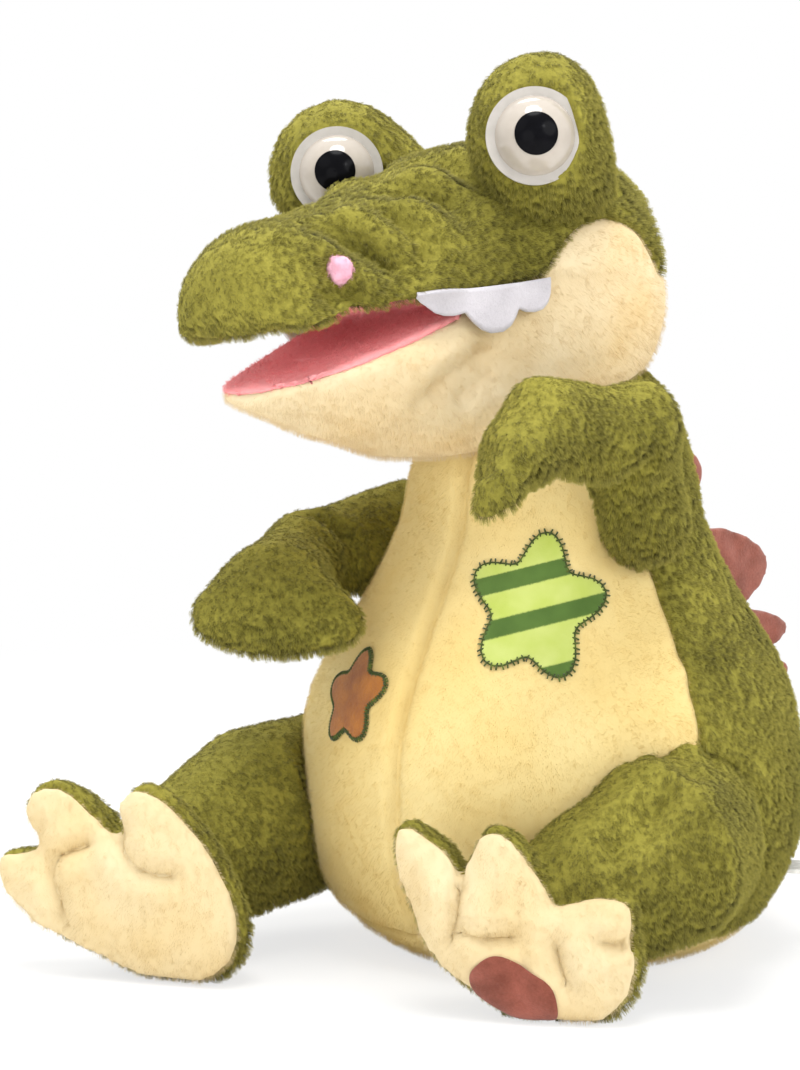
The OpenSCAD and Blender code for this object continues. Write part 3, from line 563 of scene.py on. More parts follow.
def topLoop(name, facing):  # the edge of a patch's upper face, as points in order
    patch = bmesh.new()
    patch.from_mesh(nodes[name].data)
    bmesh.ops.remove_doubles(patch, verts=patch.verts, dist=1e-6)
    patch.normal_update()
    upper = {f for f in patch.faces if f.normal.dot(facing) > 0.5}
    links = {}
    for edge in patch.edges:
        if sum(f in upper for f in edge.link_faces) == 1:
            for a, b in ((0, 1), (1, 0)):
                links.setdefault(edge.verts[a].index, []).append(edge.verts[b].index)
    patch.verts.ensure_lookup_table()
    loop, last = [min(links)], None
    while len(loop) < len(links):
        step = [k for k in links[loop[-1]] if k != last]
        last = loop[-1]
        loop.append(step[0])
    points = np.array([patch.verts[k].co[:] for k in loop])
    patch.free()
    return points


def resample(points, spacingMm):
    ring = np.vstack([points, points[:1]])
    far = np.concatenate([[0], np.cumsum(np.linalg.norm(ring[1:] - ring[:-1], axis=1))])
    spots = np.linspace(0, far[-1], int(far[-1] / (spacingMm * mm)), endpoint=False)
    return np.stack([np.interp(spots, far, ring[:, k]) for k in range(3)], axis=1)


def layPatch(name, loop, tree, liftMm, thickMm):  # a flat cut piece laid on a skin, its edge turned down
    centre = loop.mean(axis=0)
    # rings from the edge inwards: share of the outline, share of the lift
    rings = [(1.0, 0.25), (0.985, 0.8), (0.94, 1.0)] + [(share, 1.0) for share in (0.86, 0.75, 0.6, 0.45, 0.3, 0.15)]
    points, faces, count = [], [], len(loop)
    for share, rise in rings + [(0.0, 1.0)]:
        for spot in (centre + (loop - centre) * share if share else [centre]):
            met, way, face, far = tree.find_nearest(spot)
            points.append(met + way * liftMm * rise * mm)
    around = [(i, (i + 1) % count) for i in range(count)]
    for first in range(0, count * (len(rings) - 1), count):
        faces += [(first + a, first + b, first + count + b, first + count + a) for a, b in around]
    last = (len(rings) - 1) * count
    faces += [(last + a, last + b, len(points) - 1) for a, b in around]
    patch = newPiece(name, points, faces)
    if patch.data.polygons[-1].normal.dot(tree.find_nearest(centre)[1]) < 0:
        patch.data.flip_normals()
    addBacking(patch, thickMm)
    return patch


def threadMesh(name, runs, radiusMm):  # sewing threads as thin five-sided tubes, one for each run of points
    points, faces = [], []
    for run in runs:
        run = [Vector(p) for p in run]
        first = len(points)
        for k, p in enumerate(run):
            way = (run[min(k + 1, len(run) - 1)] - run[max(k - 1, 0)]).normalized()
            aside = way.cross(up if abs(way.z) < 0.9 else Vector((1, 0, 0))).normalized()
            other = way.cross(aside)
            for i in range(5):
                turn = math.radians(72 * i)
                points.append(p + (aside * math.cos(turn) + other * math.sin(turn)) * radiusMm * mm)
        for low in range(first, len(points) - 5, 5):
            faces += [(low + i, low + (i + 1) % 5, low + 5 + (i + 1) % 5, low + 5 + i) for i in range(5)]
        faces += [tuple(first + i for i in range(4, -1, -1)), tuple(len(points) - 5 + i for i in range(5))]
    return newPiece(name, points, faces)


def blanketStitch(name, loop, tree, stitch):  # threads over the patch's edge, and one along it
    spots = resample(loop, stitch["everyMm"])
    centre, runs = loop.mean(axis=0), []
    for k, spot in enumerate(spots):
        met, normal, face, far = tree.find_nearest(spot)
        along = Vector(spots[(k + 1) % len(spots)] - spots[k - 1]).normalized()
        out = along.cross(normal).normalized()
        if out.dot(Vector(spot - centre)) < 0:
            out = -out
        lean = along * stitch["leanMm"] * mm * (1 if k % 2 else -1)
        base = met + normal * stitch["riseMm"] * mm
        runs.append([base - out * stitch["inMm"] * mm - lean, base + normal * 0.35 * mm,
                     base + out * stitch["outMm"] * mm + lean - normal * 0.3 * mm])
    edge = []
    for spot in np.vstack([resample(loop, 1.2), resample(loop, 1.2)[:1]]):
        met, normal, face, far = tree.find_nearest(spot)
        edge.append(met + normal * stitch["riseMm"] * mm)
    return threadMesh(name, runs + [edge], stitch["thickMm"] / 2)


def reshapeLimb(piece, axis, stations):
    # axis: points from the root to the tip in mm; stations: share of the way, size of the section, shift in mm
    axis = np.array(axis) * mm
    co = getPoints(piece)
    far, share = lineDistance(co, axis)
    steps = np.concatenate([[0], np.cumsum(np.linalg.norm(axis[1:] - axis[:-1], axis=1))])
    steps /= steps[-1]
    mid = np.stack([np.interp(share, steps, axis[:, k]) for k in range(3)], axis=1)
    at = [s[0] for s in stations]
    size = np.interp(share, at, [s[1] for s in stations])
    shift = np.stack([np.interp(share, at, [s[2][k] for s in stations]) for k in range(3)], axis=1) * mm
    setPoints(piece, mid + (co - mid) * size[:, None] + shift)


def ramp(value, start, length):  # from 0 at the start to 1 a length further on
    return np.clip((value - start) / length, 0, 1)


def ease(share):
    return share * share * (3 - 2 * share)


# body: belly, back, seat and neck are one stuffed pear, cut along its seams
# the nape is given as heights and radii in mm
torsoLook = {
    "voxel": 1.7, "rounds": 8, "lumps": (34, 1.5, 1), "grow": -0.6,
    "centreSeam": {"wide": 2.3, "deep": 3.4, "behind": 0.146, "from": 40},
    "bellyHalf": 74, "neckFrom": 141, "liningFrom": 160, "liningTop": 176, "clothDeep": 3.8,
    "nape": [(148, 47.4), (154, 46.3), (160, 44.8), (166, 42.6), (172, 39.8), (178, 36), (184, 31.5), (189, 26)]}


def latheRing(line, steps):  # a closed ring about the upright axis, from a profile of radii and heights in mm
    turns = [math.radians(360 / steps * k) for k in range(steps)]
    points = [(r * mm * math.sin(a), r * mm * math.cos(a), z * mm) for r, z in line for a in turns]
    faces = []
    for k in range(len(line)):
        low, high = steps * k, steps * ((k + 1) % len(line))
        faces += [(low + i, low + (i + 1) % steps, high + (i + 1) % steps, high + i) for i in range(steps)]
    return points, faces


napeLine = [(29, 140), (47.6, 140)] + [(r, z) for z, r in torsoLook["nape"]] + [(22, 190), (27, 180), (29, 171)]
torso = makeSkin("torsoSkin", ["belly_panel", "back_panel", "seat_panel", "body_stuffing", "hand_sleeve", "neck_collar",
                               "neck_sleeve"], torsoLook, latheRing(napeLine, 48))
torsoFaces = faceCentres(torso)
lump(torso, *torsoLook["lumps"])
co = getPoints(torso)
seam = torsoLook["centreSeam"]
aside = co[:, 0] - np.clip(co[:, 1], 0, 1) * seam["behind"]  # behind, the seam runs along the felt plates
seamLine = np.exp(-(aside / (seam["wide"] * mm)) ** 2) * (np.hypot(co[:, 0], co[:, 1]) > seam["from"] * mm)
pushOut(torso, -(seamLine * seam["deep"]))
torsoTree = meshTree(torso)


def splitNeck(centre, label, keys):  # the neck's cloth is the belly's in front and the back's behind
    height, radius = centre[:, 2] / mm, np.hypot(centre[:, 0], centre[:, 1]) / mm
    front = np.degrees(np.arctan2(np.abs(centre[:, 0]), -centre[:, 1])) < torsoLook["bellyHalf"]
    outside = radius > np.interp(height, *zip(*torsoLook["nape"])) - torsoLook["clothDeep"]
    outside |= height > torsoLook["liningTop"]
    label = np.where((height > torsoLook["liningFrom"]) & ~outside, keys.index("sleeve_lining"), label)
    neckLabel = np.where(front, keys.index("belly"), keys.index("back"))
    return np.where((height > torsoLook["neckFrom"]) & outside, neckLabel, label)


bodyPanels = cutPanels(torso, {"belly": ["belly_panel"], "back": ["back_panel"], "seat": ["seat_panel"],
                               "sleeve_lining": ["hand_sleeve", "neck_sleeve"], "": ["body_stuffing", "neck_collar"]},
                       sewnSeam, torsoFaces, splitNeck)
starTrees = [nodeTree([name])[0] for name in ("star_patch_left", "star_patch_right")]
keepBare(bodyPanels["belly"], starTrees, 1.9)
for name, setOf, stands in (("belly", yellowSet, ["belly_panel", "body_stuffing", "neck_collar"]),
                            ("back", greenSet, ["back_panel"]), ("seat", yellowSet, ["seat_panel"])):
    piece = dress(bodyPanels[name], *setOf)
    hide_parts(*stands)
    if name == "seat":
        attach(piece, "torso")
    else:
        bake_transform(piece)
lining = dress(bodyPanels["sleeve_lining"], liningCloth, "lining_cloth", backing=0.8)
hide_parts("hand_sleeve", "neck_sleeve")
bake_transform(lining)
print("body:", {name: len(piece.data.polygons) for name, piece in bodyPanels.items()})

# head and jaw: one stuffed form, cut into crown, face and mouth
# points of the head are given in mm ahead of, above and to the left of the jaw's hinge
hinge = Vector(joints["jaw_open"]["pos_m"])
across = Vector(joints["jaw_open"]["axis"])
ahead = across.cross(up).normalized()
headUp = ahead.cross(across)
headLook = {
    "voxel": 1.5, "rounds": 18, "grow": -0.6, "lumps": (26, 1.1, 7),
    # how much the palate, the middle of the mouth, the inside of the upper lip and the jaw fall forwards
    "palateFall": 0.17, "midFall": 0.235, "rimFall": 0.245, "jawFall": 0.3,
    "upperLip": [(28, 0), (46, 2.6), (65, 3.0), (86, 1.6)], "lipHigh": 12,
    "lowerLip": [(28, 0), (46, 2.0), (65, 3.0), (86, 3.2)], "jawDeep": 32, "lipsFrom": 10,
    "chinRise": 2.2, "chinLong": 30, "noseFuller": 3.2, "noseFrom": 58, "noseLong": 24, "noseHigh": 10,
    "folds": [([(66, 17.6, 18.7), (60, 14.3, 26.5), (54.2, 6.8, 34.6), (51.6, 2.4, 37.2)], 4.3, 4.2),
              ([(47, 21.7, 25.6), (44.2, 17.6, 32.6), (43.7, 11.7, 37.3), (44.3, 5, 39.8)], 4.1, 3.8),
              ([(37.7, 28.6, 16.7), (32.6, 27.7, 25.1), (29.3, 24.7, 32.4), (28, 21.1, 37.4)], 4.1, 2.9),
              ([(15, 37.7, 11.6), (14.2, 35.3, 23.7), (17.8, 30.8, 39.4)], 4.1, 2.6),
              ([(67.5, -2, 31.5), (66.2, -4.6, 32.6), (65.3, -7.5, 33.4)], 3.2, 2.2),
              ([(77.7, -0.2, 29.8), (74.3, -4, 31.5), (70, -6.6, 32.7)], 4.1, 2.5),
              ([(40.3, -36, 32.5), (34.6, -31.4, 36.2), (29.6, -28.1, 38.2), (20.1, -21.1, 41.5)], 3.5, 2.7),
              ([(29.8, -38.3, 33.1), (24.7, -33.4, 36.7), (19.3, -28, 39.9)], 3.5, 2.4)],
    "foldWider": 1.15, "foldDeeper": {1: 1.45, -1: 1.16},
    "nostril": ((67.3, 4.7, 29.1), 7.0, 3.0), "eyeHollow": 13,
    "cheekTop": [(-46, 7), (-44.3, 9), (-38.3, 13), (-30.8, 15.6), (-22.5, 16.9), (-15.1, 15.8), (-10.4, 13.7),
                 (-5.8, 10.7), (-1.1, 6.5), (3.8, 0.3), (8, -1)]}


def headPoint(place, side=1):
    return hinge + (ahead * place[0] + headUp * place[1] + across * place[2] * side) * mm


def headPlace(co):
    away = (co - np.array(hinge)) / mm
    return away @ np.array(ahead), away @ np.array(headUp), away @ np.array(across)


def openLips(piece):  # the lips are drawn back from the mouth, the chin is flatter and the nose fuller
    look, co = headLook, getPoints(piece)
    forward, rise = headPlace(co)[:2]
    overPalate = rise + look["palateFall"] * forward
    lift = np.interp(forward, *zip(*look["upperLip"])) * (1 - ramp(overPalate, 1, look["lipHigh"]))
    depth = ramp(-look["jawFall"] * forward - rise, 0, look["jawDeep"])
    drop = np.interp(forward, *zip(*look["lowerLip"]))
    chin = look["chinRise"] * ramp(forward, look["lipsFrom"], look["chinLong"])
    shift = np.where(rise > -look["midFall"] * forward, lift, chin * depth - drop * (1 - depth))
    shift = shift * (forward > look["lipsFrom"])
    nose = ramp(forward, look["noseFrom"], look["noseLong"]) * ramp(overPalate, 0, look["noseHigh"])
    setPoints(piece, co + np.array(headUp) * ((shift + look["noseFuller"] * nose) * mm)[:, None])


eyeTree = nodeTree(["eye_%s_%s" % (part, side) for part in ("dome", "flange") for side in ("left", "right")])[0]


def trimCheeks(centre, label, keys):
    inner, crownKey, faceKey, mouthKey = (keys.index(key) for key in ("", "crown_skin", "face", "mouth"))
    forward, rise, aside = headPlace(centre)
    # the crown's cloth also lines the hollow that an eye lies in
    hidden = np.nonzero((label == inner) & (rise > 5))[0]
    label[[k for k in hidden if eyeTree.find_nearest(centre[k], headLook["eyeHollow"] * mm)[0]]] = crownKey
    # the cheek's round lobe rises behind the mouth
    top = np.interp(forward, *zip(*headLook["cheekTop"]))
    zone = (forward > -48) & (forward < 6) & (rise > 0) & (np.abs(aside) > 28) & (label != mouthKey) & (label != inner)
    label = np.where(zone, np.where(rise < top, faceKey, crownKey), label)
    # the crown's cloth turns in under the upper lip, and the pink cloth out over the lower one
    outer = (forward / 90.4) ** 2 + (aside / 46.3) ** 2 > 0.87
    rim = (label == mouthKey) & (rise > -headLook["rimFall"] * forward) & outer
    label = np.where(rim, crownKey, label)
    lip = (rise > -headLook["jawFall"] * forward - 2.4) & (rise < -headLook["midFall"] * forward)
    return np.where((label == faceKey) & (forward > 30) & lip, mouthKey, label)


headNodes = {"crown_skin": ["crown"],
             "face": ["cheek_left", "cheek_right", "throat", "throat_gusset", "lower_jaw"],
             "mouth": ["palate_lining", "jaw_lining", "mouth_fold"],
             "": ["head_stuffing", "finger_pocket", "jaw_stuffing", "thumb_pocket"]}
head = makeSkin("headSkin", [n for group in headNodes.values() for n in group] + ["palate_board", "jaw_board"],
                headLook)
headFaces = faceCentres(head)
openLips(head)
lump(head, *headLook["lumps"])
for side in (1, -1):
    for line, wide, deep in headLook["folds"]:
        pressFold(head, [np.array(headPoint(p, side)) / mm for p in line], wide * headLook["foldWider"],
                  deep * headLook["foldDeeper"][side])
    spot, wide, deep = headLook["nostril"]
    near = np.linalg.norm(getPoints(head) - np.array(headPoint(spot, side)), axis=1) / (wide * mm)
    pushOut(head, -(np.exp(-near ** 2) * deep))
headTree = meshTree(head)

# teeth: a strip of white felt with three round scallops, sewn in under the upper lip at each corner of the mouth
# its lines run from front to back; the right strip starts further back, and higher
teethLook = {
    "top": [(48.8, -5.2), (40.9, -4.2), (28, -3.6), (14.3, -2.7), (3.8, -1.6)],
    "aside": [(48.8, 39.9), (40.9, 42.6), (28, 46), (14.3, 49), (3.8, 51.2)],
    "bottom": [(48.8, -5.8), (47.6, -7.2), (45.5, -8.6), (43, -10.6), (40, -11.6), (37, -11.7), (34.6, -11.2),
               (33.2, -10.9), (32.2, -12.2), (30.4, -14.4), (28, -16.4), (25, -17.5), (21.5, -17.3),
               (18.6, -15.6), (16.6, -12.8), (15.6, -10.6), (14.4, -10.9), (12.6, -11.7), (10, -11.9),
               (7.4, -11.2), (5.4, -9.3), (4.2, -6.4), (3.8, -3.0)],
    "from": {1: 48.8, -1: 43.0}, "to": 3.8, "higher": {1: 0.0, -1: 3.6}, "columns": 90, "rows": 9,
    "lift": 2.2, "loose": 3, "thick": 1.5}


def lineAt(line, f):
    return np.interp(-f, [-p[0] for p in line], [p[1] for p in line])


teethTrees = []
for side, name in ((1, "left"), (-1, "right")):
    places, asides, faces, rows = [], [], [], teethLook["rows"]
    for f in np.linspace(teethLook["from"][side], teethLook["to"], teethLook["columns"]):
        high, low, least = (lineAt(teethLook[line], f) for line in ("top", "bottom", "aside"))
        for k in range(rows):
            rise = high + (low - high) * k / (rows - 1) + teethLook["higher"][side]
            met = headTree.ray_cast(headPoint((f, rise, 80), side), across * -side)[0]
            skin = (met - hinge).dot(across) * side / mm if met else 0
            places.append((f, rise))
            asides.append(max(least, min(skin + teethLook["lift"], least + teethLook["loose"])))
    asides = np.array(asides).reshape(teethLook["columns"], rows)
    for step in range(20):  # felt is stiff: it doesn't follow every dent of the cheek
        asides[1:-1] = 0.5 * asides[1:-1] + 0.25 * (asides[2:] + asides[:-2])
        asides[:, 1:-1] = 0.5 * asides[:, 1:-1] + 0.25 * (asides[:, 2:] + asides[:, :-2])
    points = [headPoint((f, rise, far), side) for (f, rise), far in zip(places, asides.ravel())]
    for low in range(0, rows * (teethLook["columns"] - 1), rows):
        faces += [(low + k, low + k + 1, low + rows + k + 1, low + rows + k) for k in range(rows - 1)]
    strip = newPiece("teeth_felt_" + name, points, faces)
    if strip.data.polygons[len(faces) // 2].normal.dot(across * side) < 0:
        strip.data.flip_normals()
    teethTrees.append(meshTree(strip))
    dress(strip, whiteFelt, "white_felt", backing=teethLook["thick"])
    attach(strip, "head")
    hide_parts("teeth_" + name)

headPanels = cutPanels(head, headNodes, sewnSeam, headFaces, trimCheeks)
keepBare(headPanels["crown_skin"], teethTrees + [eyeTree], 1.6)
crown = dress(headPanels["crown_skin"], *crownSet)
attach(crown, "head")
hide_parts("crown", "head_stuffing", "finger_pocket")
keepBare(headPanels["face"], teethTrees, 1.8)
# the face's panels take the paler copy of the yellow cloth: painted light
face = dress(headPanels["face"], *litFaceYellowSet)
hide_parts("cheek_left", "cheek_right", "throat", "throat_gusset", "lower_jaw", "jaw_stuffing", "thumb_pocket")
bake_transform(face)
mouth = dress(headPanels["mouth"], *pinkSet)
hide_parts("palate_lining", "jaw_lining", "mouth_fold")
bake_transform(mouth)
print("head:", {name: len(piece.data.polygons) for name, piece in headPanels.items()})

# eyes: plush bumps, drawn in at the root, and the moulded safety eyes of the frame with better plastic
# the left bump is flatter behind, and its plush comes over the flange below and behind
bumpLook = {
    "voxel": 1.3, "rounds": 10, "grow": -0.3, "lumps": (18, 0.9, 4), "rootTop": 26, "rootHigh": 16, "rootIn": 13,
    "flatter": 0.24, "higher": 2.0, "topHalf": 15, "lid": 5.0, "lidIn": 2.0, "lidAt": 18.0, "lidWide": 4.5,
    "lidDeep": 14}
rightward = Vector((0.76, 0.65, 0))
for side, sign in (("left", 1), ("right", -1)):
    bump = makeSkin("eye_bump_skin_" + side, ["eye_bump_" + side], bumpLook)
    co = getPoints(bump)
    low = ramp(-headPlace(co)[1], -bumpLook["rootTop"], bumpLook["rootHigh"])
    setPoints(bump, co - np.array(across) * sign * (ease(low) * bumpLook["rootIn"] * mm)[:, None])
    if side == "left":
        co = getPoints(bump)
        middle = (co.max(axis=0) + co.min(axis=0)) / 2
        behind = (co - middle) @ np.array(rightward)
        co -= np.outer(np.clip(behind, 0, 1), rightward) * bumpLook["flatter"]
        co[:, 2] += ramp(co[:, 2], middle[2], bumpLook["topHalf"] * mm) * bumpLook["higher"] * mm
        setPoints(bump, co)
    keepBare(bump, [nodeTree(["eye_flange_" + side])[0]], 1.6)
    if side == "left":
        seat, front = (Vector(getPoints(nodes["eye_%s_left" % part]).mean(axis=0)) for part in ("flange", "dome"))
        axis = (front - seat).normalized()
        co = getPoints(bump) - np.array(seat)
        height = co @ np.array(axis)
        aside = co - np.outer(height, axis)
        far = np.linalg.norm(aside, axis=1)
        turned = aside @ np.array(rightward * 0.85 - up * 0.5) / far
        rim = np.exp(-((far / mm - bumpLook["lidAt"]) / bumpLook["lidWide"]) ** 2)
        rim *= ramp(turned, -0.45, 1.1) ** 1.5 * (height > -bumpLook["lidDeep"] * mm)
        inward = aside / far[:, None] * (rim * bumpLook["lidIn"] * mm)[:, None]
        setPoints(bump, co + np.outer(rim * bumpLook["lid"] * mm, axis) - inward + np.array(seat))
    lump(bump, *bumpLook["lumps"])
    dress(bump, *greenSet, backing=0)
    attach(bump, "head")
    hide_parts("eye_bump_" + side)
    for part, plastic in (("dome", eyeWhite), ("pupil", eyeBlack), ("flange", eyeFlange), ("washer", washerPlastic)):
        moulded = nodes["eye_" + part + "_" + side].data
        moulded.materials.clear()
        moulded.materials.append(plastic)
        shadeSmooth(moulded)
# boards: shorter and narrower than the frame's, so that they stay well inside the lips
boardLook = {"voxel": 0.7, "rounds": 2, "grow": -0.4, "shorter": 0.14, "narrower": 0.16,
             "lift": {"head": 2.2, "jaw": -1.4}}
for name, body in (("palate_board", "head"), ("jaw_board", "jaw")):
    board = makeSkin(name + "_card", [name], boardLook)
    co = getPoints(board)
    forward, rise, aside = headPlace(co)
    co -= np.outer(forward, ahead) * boardLook["shorter"] * mm + np.outer(aside, across) * boardLook["narrower"] * mm
    setPoints(board, co + np.array(headUp) * boardLook["lift"][body] * mm)
    openLips(board)
    dress(board, mouthBoard, "mouth_board", backing=0)
    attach(board, body)
    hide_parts(name)


# limbs: each root is pushed into the body's seam

limbLook = {"voxel": 1.6, "rounds": 16, "grow": -0.3, "reach": 7.0, "depth": 7.0, "lumps": (24, 1.2, 11)}


def sewRoot(piece):
    reach, co = limbLook["reach"] * mm, getPoints(piece)
    share = np.zeros(len(co))
    for k, c in enumerate(co.tolist()):
        spot, way, face, far = torsoTree.find_nearest(c, reach)
        if spot is not None:
            share[k] = ease(1 - far / reach)
            co[k] -= np.array(way) * limbLook["depth"] * mm * share[k]
    setPoints(piece, co)
    relax(piece, np.clip(share * 3, 0, 1), 8)


armLook = {
    "left": {
        "axis": [(53.5, -19.5, 142), (66.6, -45.1, 174), (57.7, -86.8, 179.9), (50.3, -99.6, 161)],
        "stations": [(0, 0.9, (-1, -1, 0)), (0.2, 0.9, (-2, -2, 0)), (0.38, 1, (0, 0, 0)),
                     (0.55, 1.02, (0, 0, -4)), (0.8, 1.06, (3, 2, -3.5)), (1, 1.05, (4, 3.4, -1))],
        "finger": [(61.5, -110.8, 162, 6.5), (57.5, -114.3, 155.5, 4.6)],
        "folds": [([(60.3, -52.3, 157.8), (73, -54.4, 161.6), (79.2, -52, 166.3)], 3.2, 3.0),
                  ([(60.5, -112.7, 165.5), (63.7, -110.7, 162.8), (68, -106, 160)], 2.2, 2.6)]},
    "right": {
        "axis": [(-55.2, -5.8, 133), (-68.3, -46.1, 125.5), (-49.5, -84.4, 120.3), (-37.3, -100.1, 106.9)],
        "stations": [(0, 1, (0, 0, 0)), (0.33, 0.92, (2.5, 2, -1)), (0.55, 0.95, (2.5, 2, 0)),
                     (0.75, 1.08, (3, 2.5, 0)), (1, 1.2, (5, 4, 0))],
        "folds": [([(-61.1, -50, 140), (-57.5, -48.2, 138.5), (-53.5, -46.5, 135.4), (-50.1, -42.6, 130.1)],
                   3.0, 3.4),
                  ([(-50.3, -43.4, 124.4), (-52.1, -44.8, 119.5), (-56.3, -43.9, 113.6)], 3.0, 2.6),
                  ([(-40.6, -108, 109.9), (-32.7, -102.7, 108.8)], 1.8, 1.6),
                  ([(-24.3, -93.6, 108), (-19, -90, 108.4)], 1.8, 1.6)]}}
# toes: place along the sole, half width, lift and height, all in mm
legLook = {
    "left": {
        "foot": (67, -95, 45), "toes": [(-6.6, 3.8, -8.5, 47), (-25.4, 9, 7, 46)],
        "folds": [([(81.8, -77.4, 44.9), (81.4, -71.5, 53.5), (84.5, -66.3, 58.9), (87.1, -60.5, 63.1),
                    (86, -40.2, 69.9)], 4.1, 3.1),
                  ([(49.1, -104.6, 26.4), (55.7, -101.1, 25.2), (63.6, -96.9, 26.2)], 2.8, 3.1),
                  ([(73, -91.8, 25.2), (74.4, -91.1, 18.1), (76.5, -90, 11.7)], 2.8, 3.4),
                  ([(83.7, -86.1, 25.7), (87.6, -84.1, 24.8), (91.8, -81.9, 25)], 2.5, 2.4),
                  ([(47.7, -105.3, 40.9), (47.2, -105.6, 31.6), (45.1, -106.7, 22.3)], 2.8, 3.4)]},
    "right": {
        "foot": (-61, -132, 45), "toes": [],
        "folds": [([(-67.2, -134.5, 48), (-64, -133.2, 43.1), (-60.9, -131.9, 37.5)], 3.2, 2.6),
                  ([(-85.6, -141.9, 35), (-84.1, -141.3, 31.6), (-82.3, -140.6, 25.1),
                    (-81.1, -140.1, 17.7)], 3.2, 2.6),
                  ([(-84, -141.3, 37.6), (-78.1, -138.9, 40.5), (-72.5, -136.6, 42.4)], 2.8, 3.1),
                  ([(-58.7, -131, 36.1), (-52.6, -128.6, 34.6), (-46.2, -126, 34.4)], 2.8, 2.7)]}}
footLook = dict(limbLook, rounds=8, puff=3.0, puffWide=6.0, heelHigh=16, heelFrom=60, heelLong=15, rest=0.8,
                toeHigh=22, toeFrom=85, toeDeep=14)
soleTurn = math.radians(28)  # how far the left sole faces to the left
soleFacing = (math.sin(soleTurn), -math.cos(soleTurn), 0)
soleAlong = (math.cos(soleTurn), math.sin(soleTurn), 0)
ovalLook = {"shift": (0.5, 0.3, -2.4), "lift": 1.2, "thick": 1.2}
finger = bmesh.new()
for x, y, z, size in np.linspace(*armLook["left"]["finger"], 7):
    place = Matrix.Translation((x * mm, y * mm, z * mm))
    bmesh.ops.create_icosphere(finger, subdivisions=3, radius=size * mm, matrix=place)
finger.verts.index_update()
fingerFill = ([v.co[:] for v in finger.verts], [[v.index for v in f.verts] for f in finger.faces])
finger.free()
for side in ("left", "right"):
    arm = makeSkin("arm_skin_" + side, ["arm_" + side], limbLook, fingerFill if side == "left" else None)
    reshapeLimb(arm, armLook[side]["axis"], armLook[side]["stations"])
    lump(arm, *limbLook["lumps"])
    for fold in armLook[side]["folds"]:
        pressFold(arm, *fold)
    sewRoot(arm)
    dress(arm, *greenSet, backing=0)
    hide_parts("arm_" + side)
    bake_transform(arm)

    leg = makeSkin("legSkin" + side, ["leg_" + side, "foot_upper_" + side, "sole_" + side], footLook)
    legFaces = faceCentres(leg)
    co = getPoints(leg)
    # the heel's edge rests on the floor
    heel = -co[:, 1] / mm
    sunk = (1 - ramp(co[:, 2], 0, footLook["heelHigh"] * mm)) * ramp(heel, footLook["heelFrom"], footLook["heelLong"])
    lowest = co[heel > footLook["heelFrom"] + footLook["heelLong"], 2].min()
    co[:, 2] -= sunk * max(0, lowest - footLook["rest"] * mm)
    for at, wide, lift, high in legLook[side]["toes"]:  # a toe drawn up, or the gap between two toes drawn down
        along = (co @ np.array(soleAlong) / mm - at) / wide
        toe = np.exp(-along ** 2) * ramp(co[:, 2] / mm, high - footLook["toeHigh"], footLook["toeHigh"])
        toe *= ramp(co @ np.array(soleFacing) / mm, footLook["toeFrom"], footLook["toeDeep"])
        co[:, 2] += toe * lift * mm
    setPoints(leg, co)
    lump(leg, *limbLook["lumps"])
    for fold in legLook[side]["folds"]:
        pressFold(leg, *fold)
    sewRoot(leg)
    soleSeam = dict(sewnSeam, puffed="sole_skin_" + side, puff=footLook["puff"], puffWide=footLook["puffWide"])
    legPanels = cutPanels(leg, {"leg_skin_" + side: ["leg_" + side, "foot_upper_" + side],
                                "sole_skin_" + side: ["sole_" + side]}, soleSeam, legFaces)
    leg = dress(legPanels["leg_skin_" + side], *greenSet)
    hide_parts("leg_" + side, "foot_upper_" + side)
    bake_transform(leg)
    sole = legPanels["sole_skin_" + side]
    if side == "left":
        loop = resample(topLoop("sole_oval", Vector(soleFacing)), 1.0) + np.array(ovalLook["shift"]) * mm
        oval = layPatch("sole_oval_felt", loop, meshTree(sole), ovalLook["lift"], ovalLook["thick"])
        relax(oval, np.ones(len(oval.data.vertices)), 14)
        keepBare(sole, [meshTree(oval)], 2.6)
        dress(oval, brownFelt, "brown_felt", backing=0)
        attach(oval, "left_leg")
        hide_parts("sole_oval")
    # the sole takes the darker copy of the yellow cloth: painted shade
    dress(sole, *shadedSoleSet)
    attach(sole, side + "_leg")
    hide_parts("sole_" + side)

tailLook = dict(limbLook, rounds=10, grow=0.5)
tail = makeSkin("tailSkin", ["tail_top", "tail_underside"], tailLook)
lump(tail, *limbLook["lumps"])
sewRoot(tail)
tailPanels = cutPanels(tail, {"tail_top_skin": ["tail_top"], "tail_underside_skin": ["tail_underside"]}, sewnSeam,
                       faceCentres(tail))
for node, setOf in (("tail_top", greenSet), ("tail_underside", yellowSet)):
    piece = dress(tailPanels[node + "_skin"], *setOf)
    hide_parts(node)
    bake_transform(piece)
print("limbs and tail made")

# felt plates in the back seam
plateLook = {"voxel": 0.7, "rounds": 4, "lumps": (6, 0.5)}
for k in range(1, 6):
    plate = makeSkin("back_plate_%d_felt" % k, ["back_plate_%d" % k], plateLook)
    lump(plate, *plateLook["lumps"], k)
    dress(plate, brownFelt, "brown_felt", backing=0)
    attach(plate, "torso")
    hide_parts("back_plate_%d" % k)
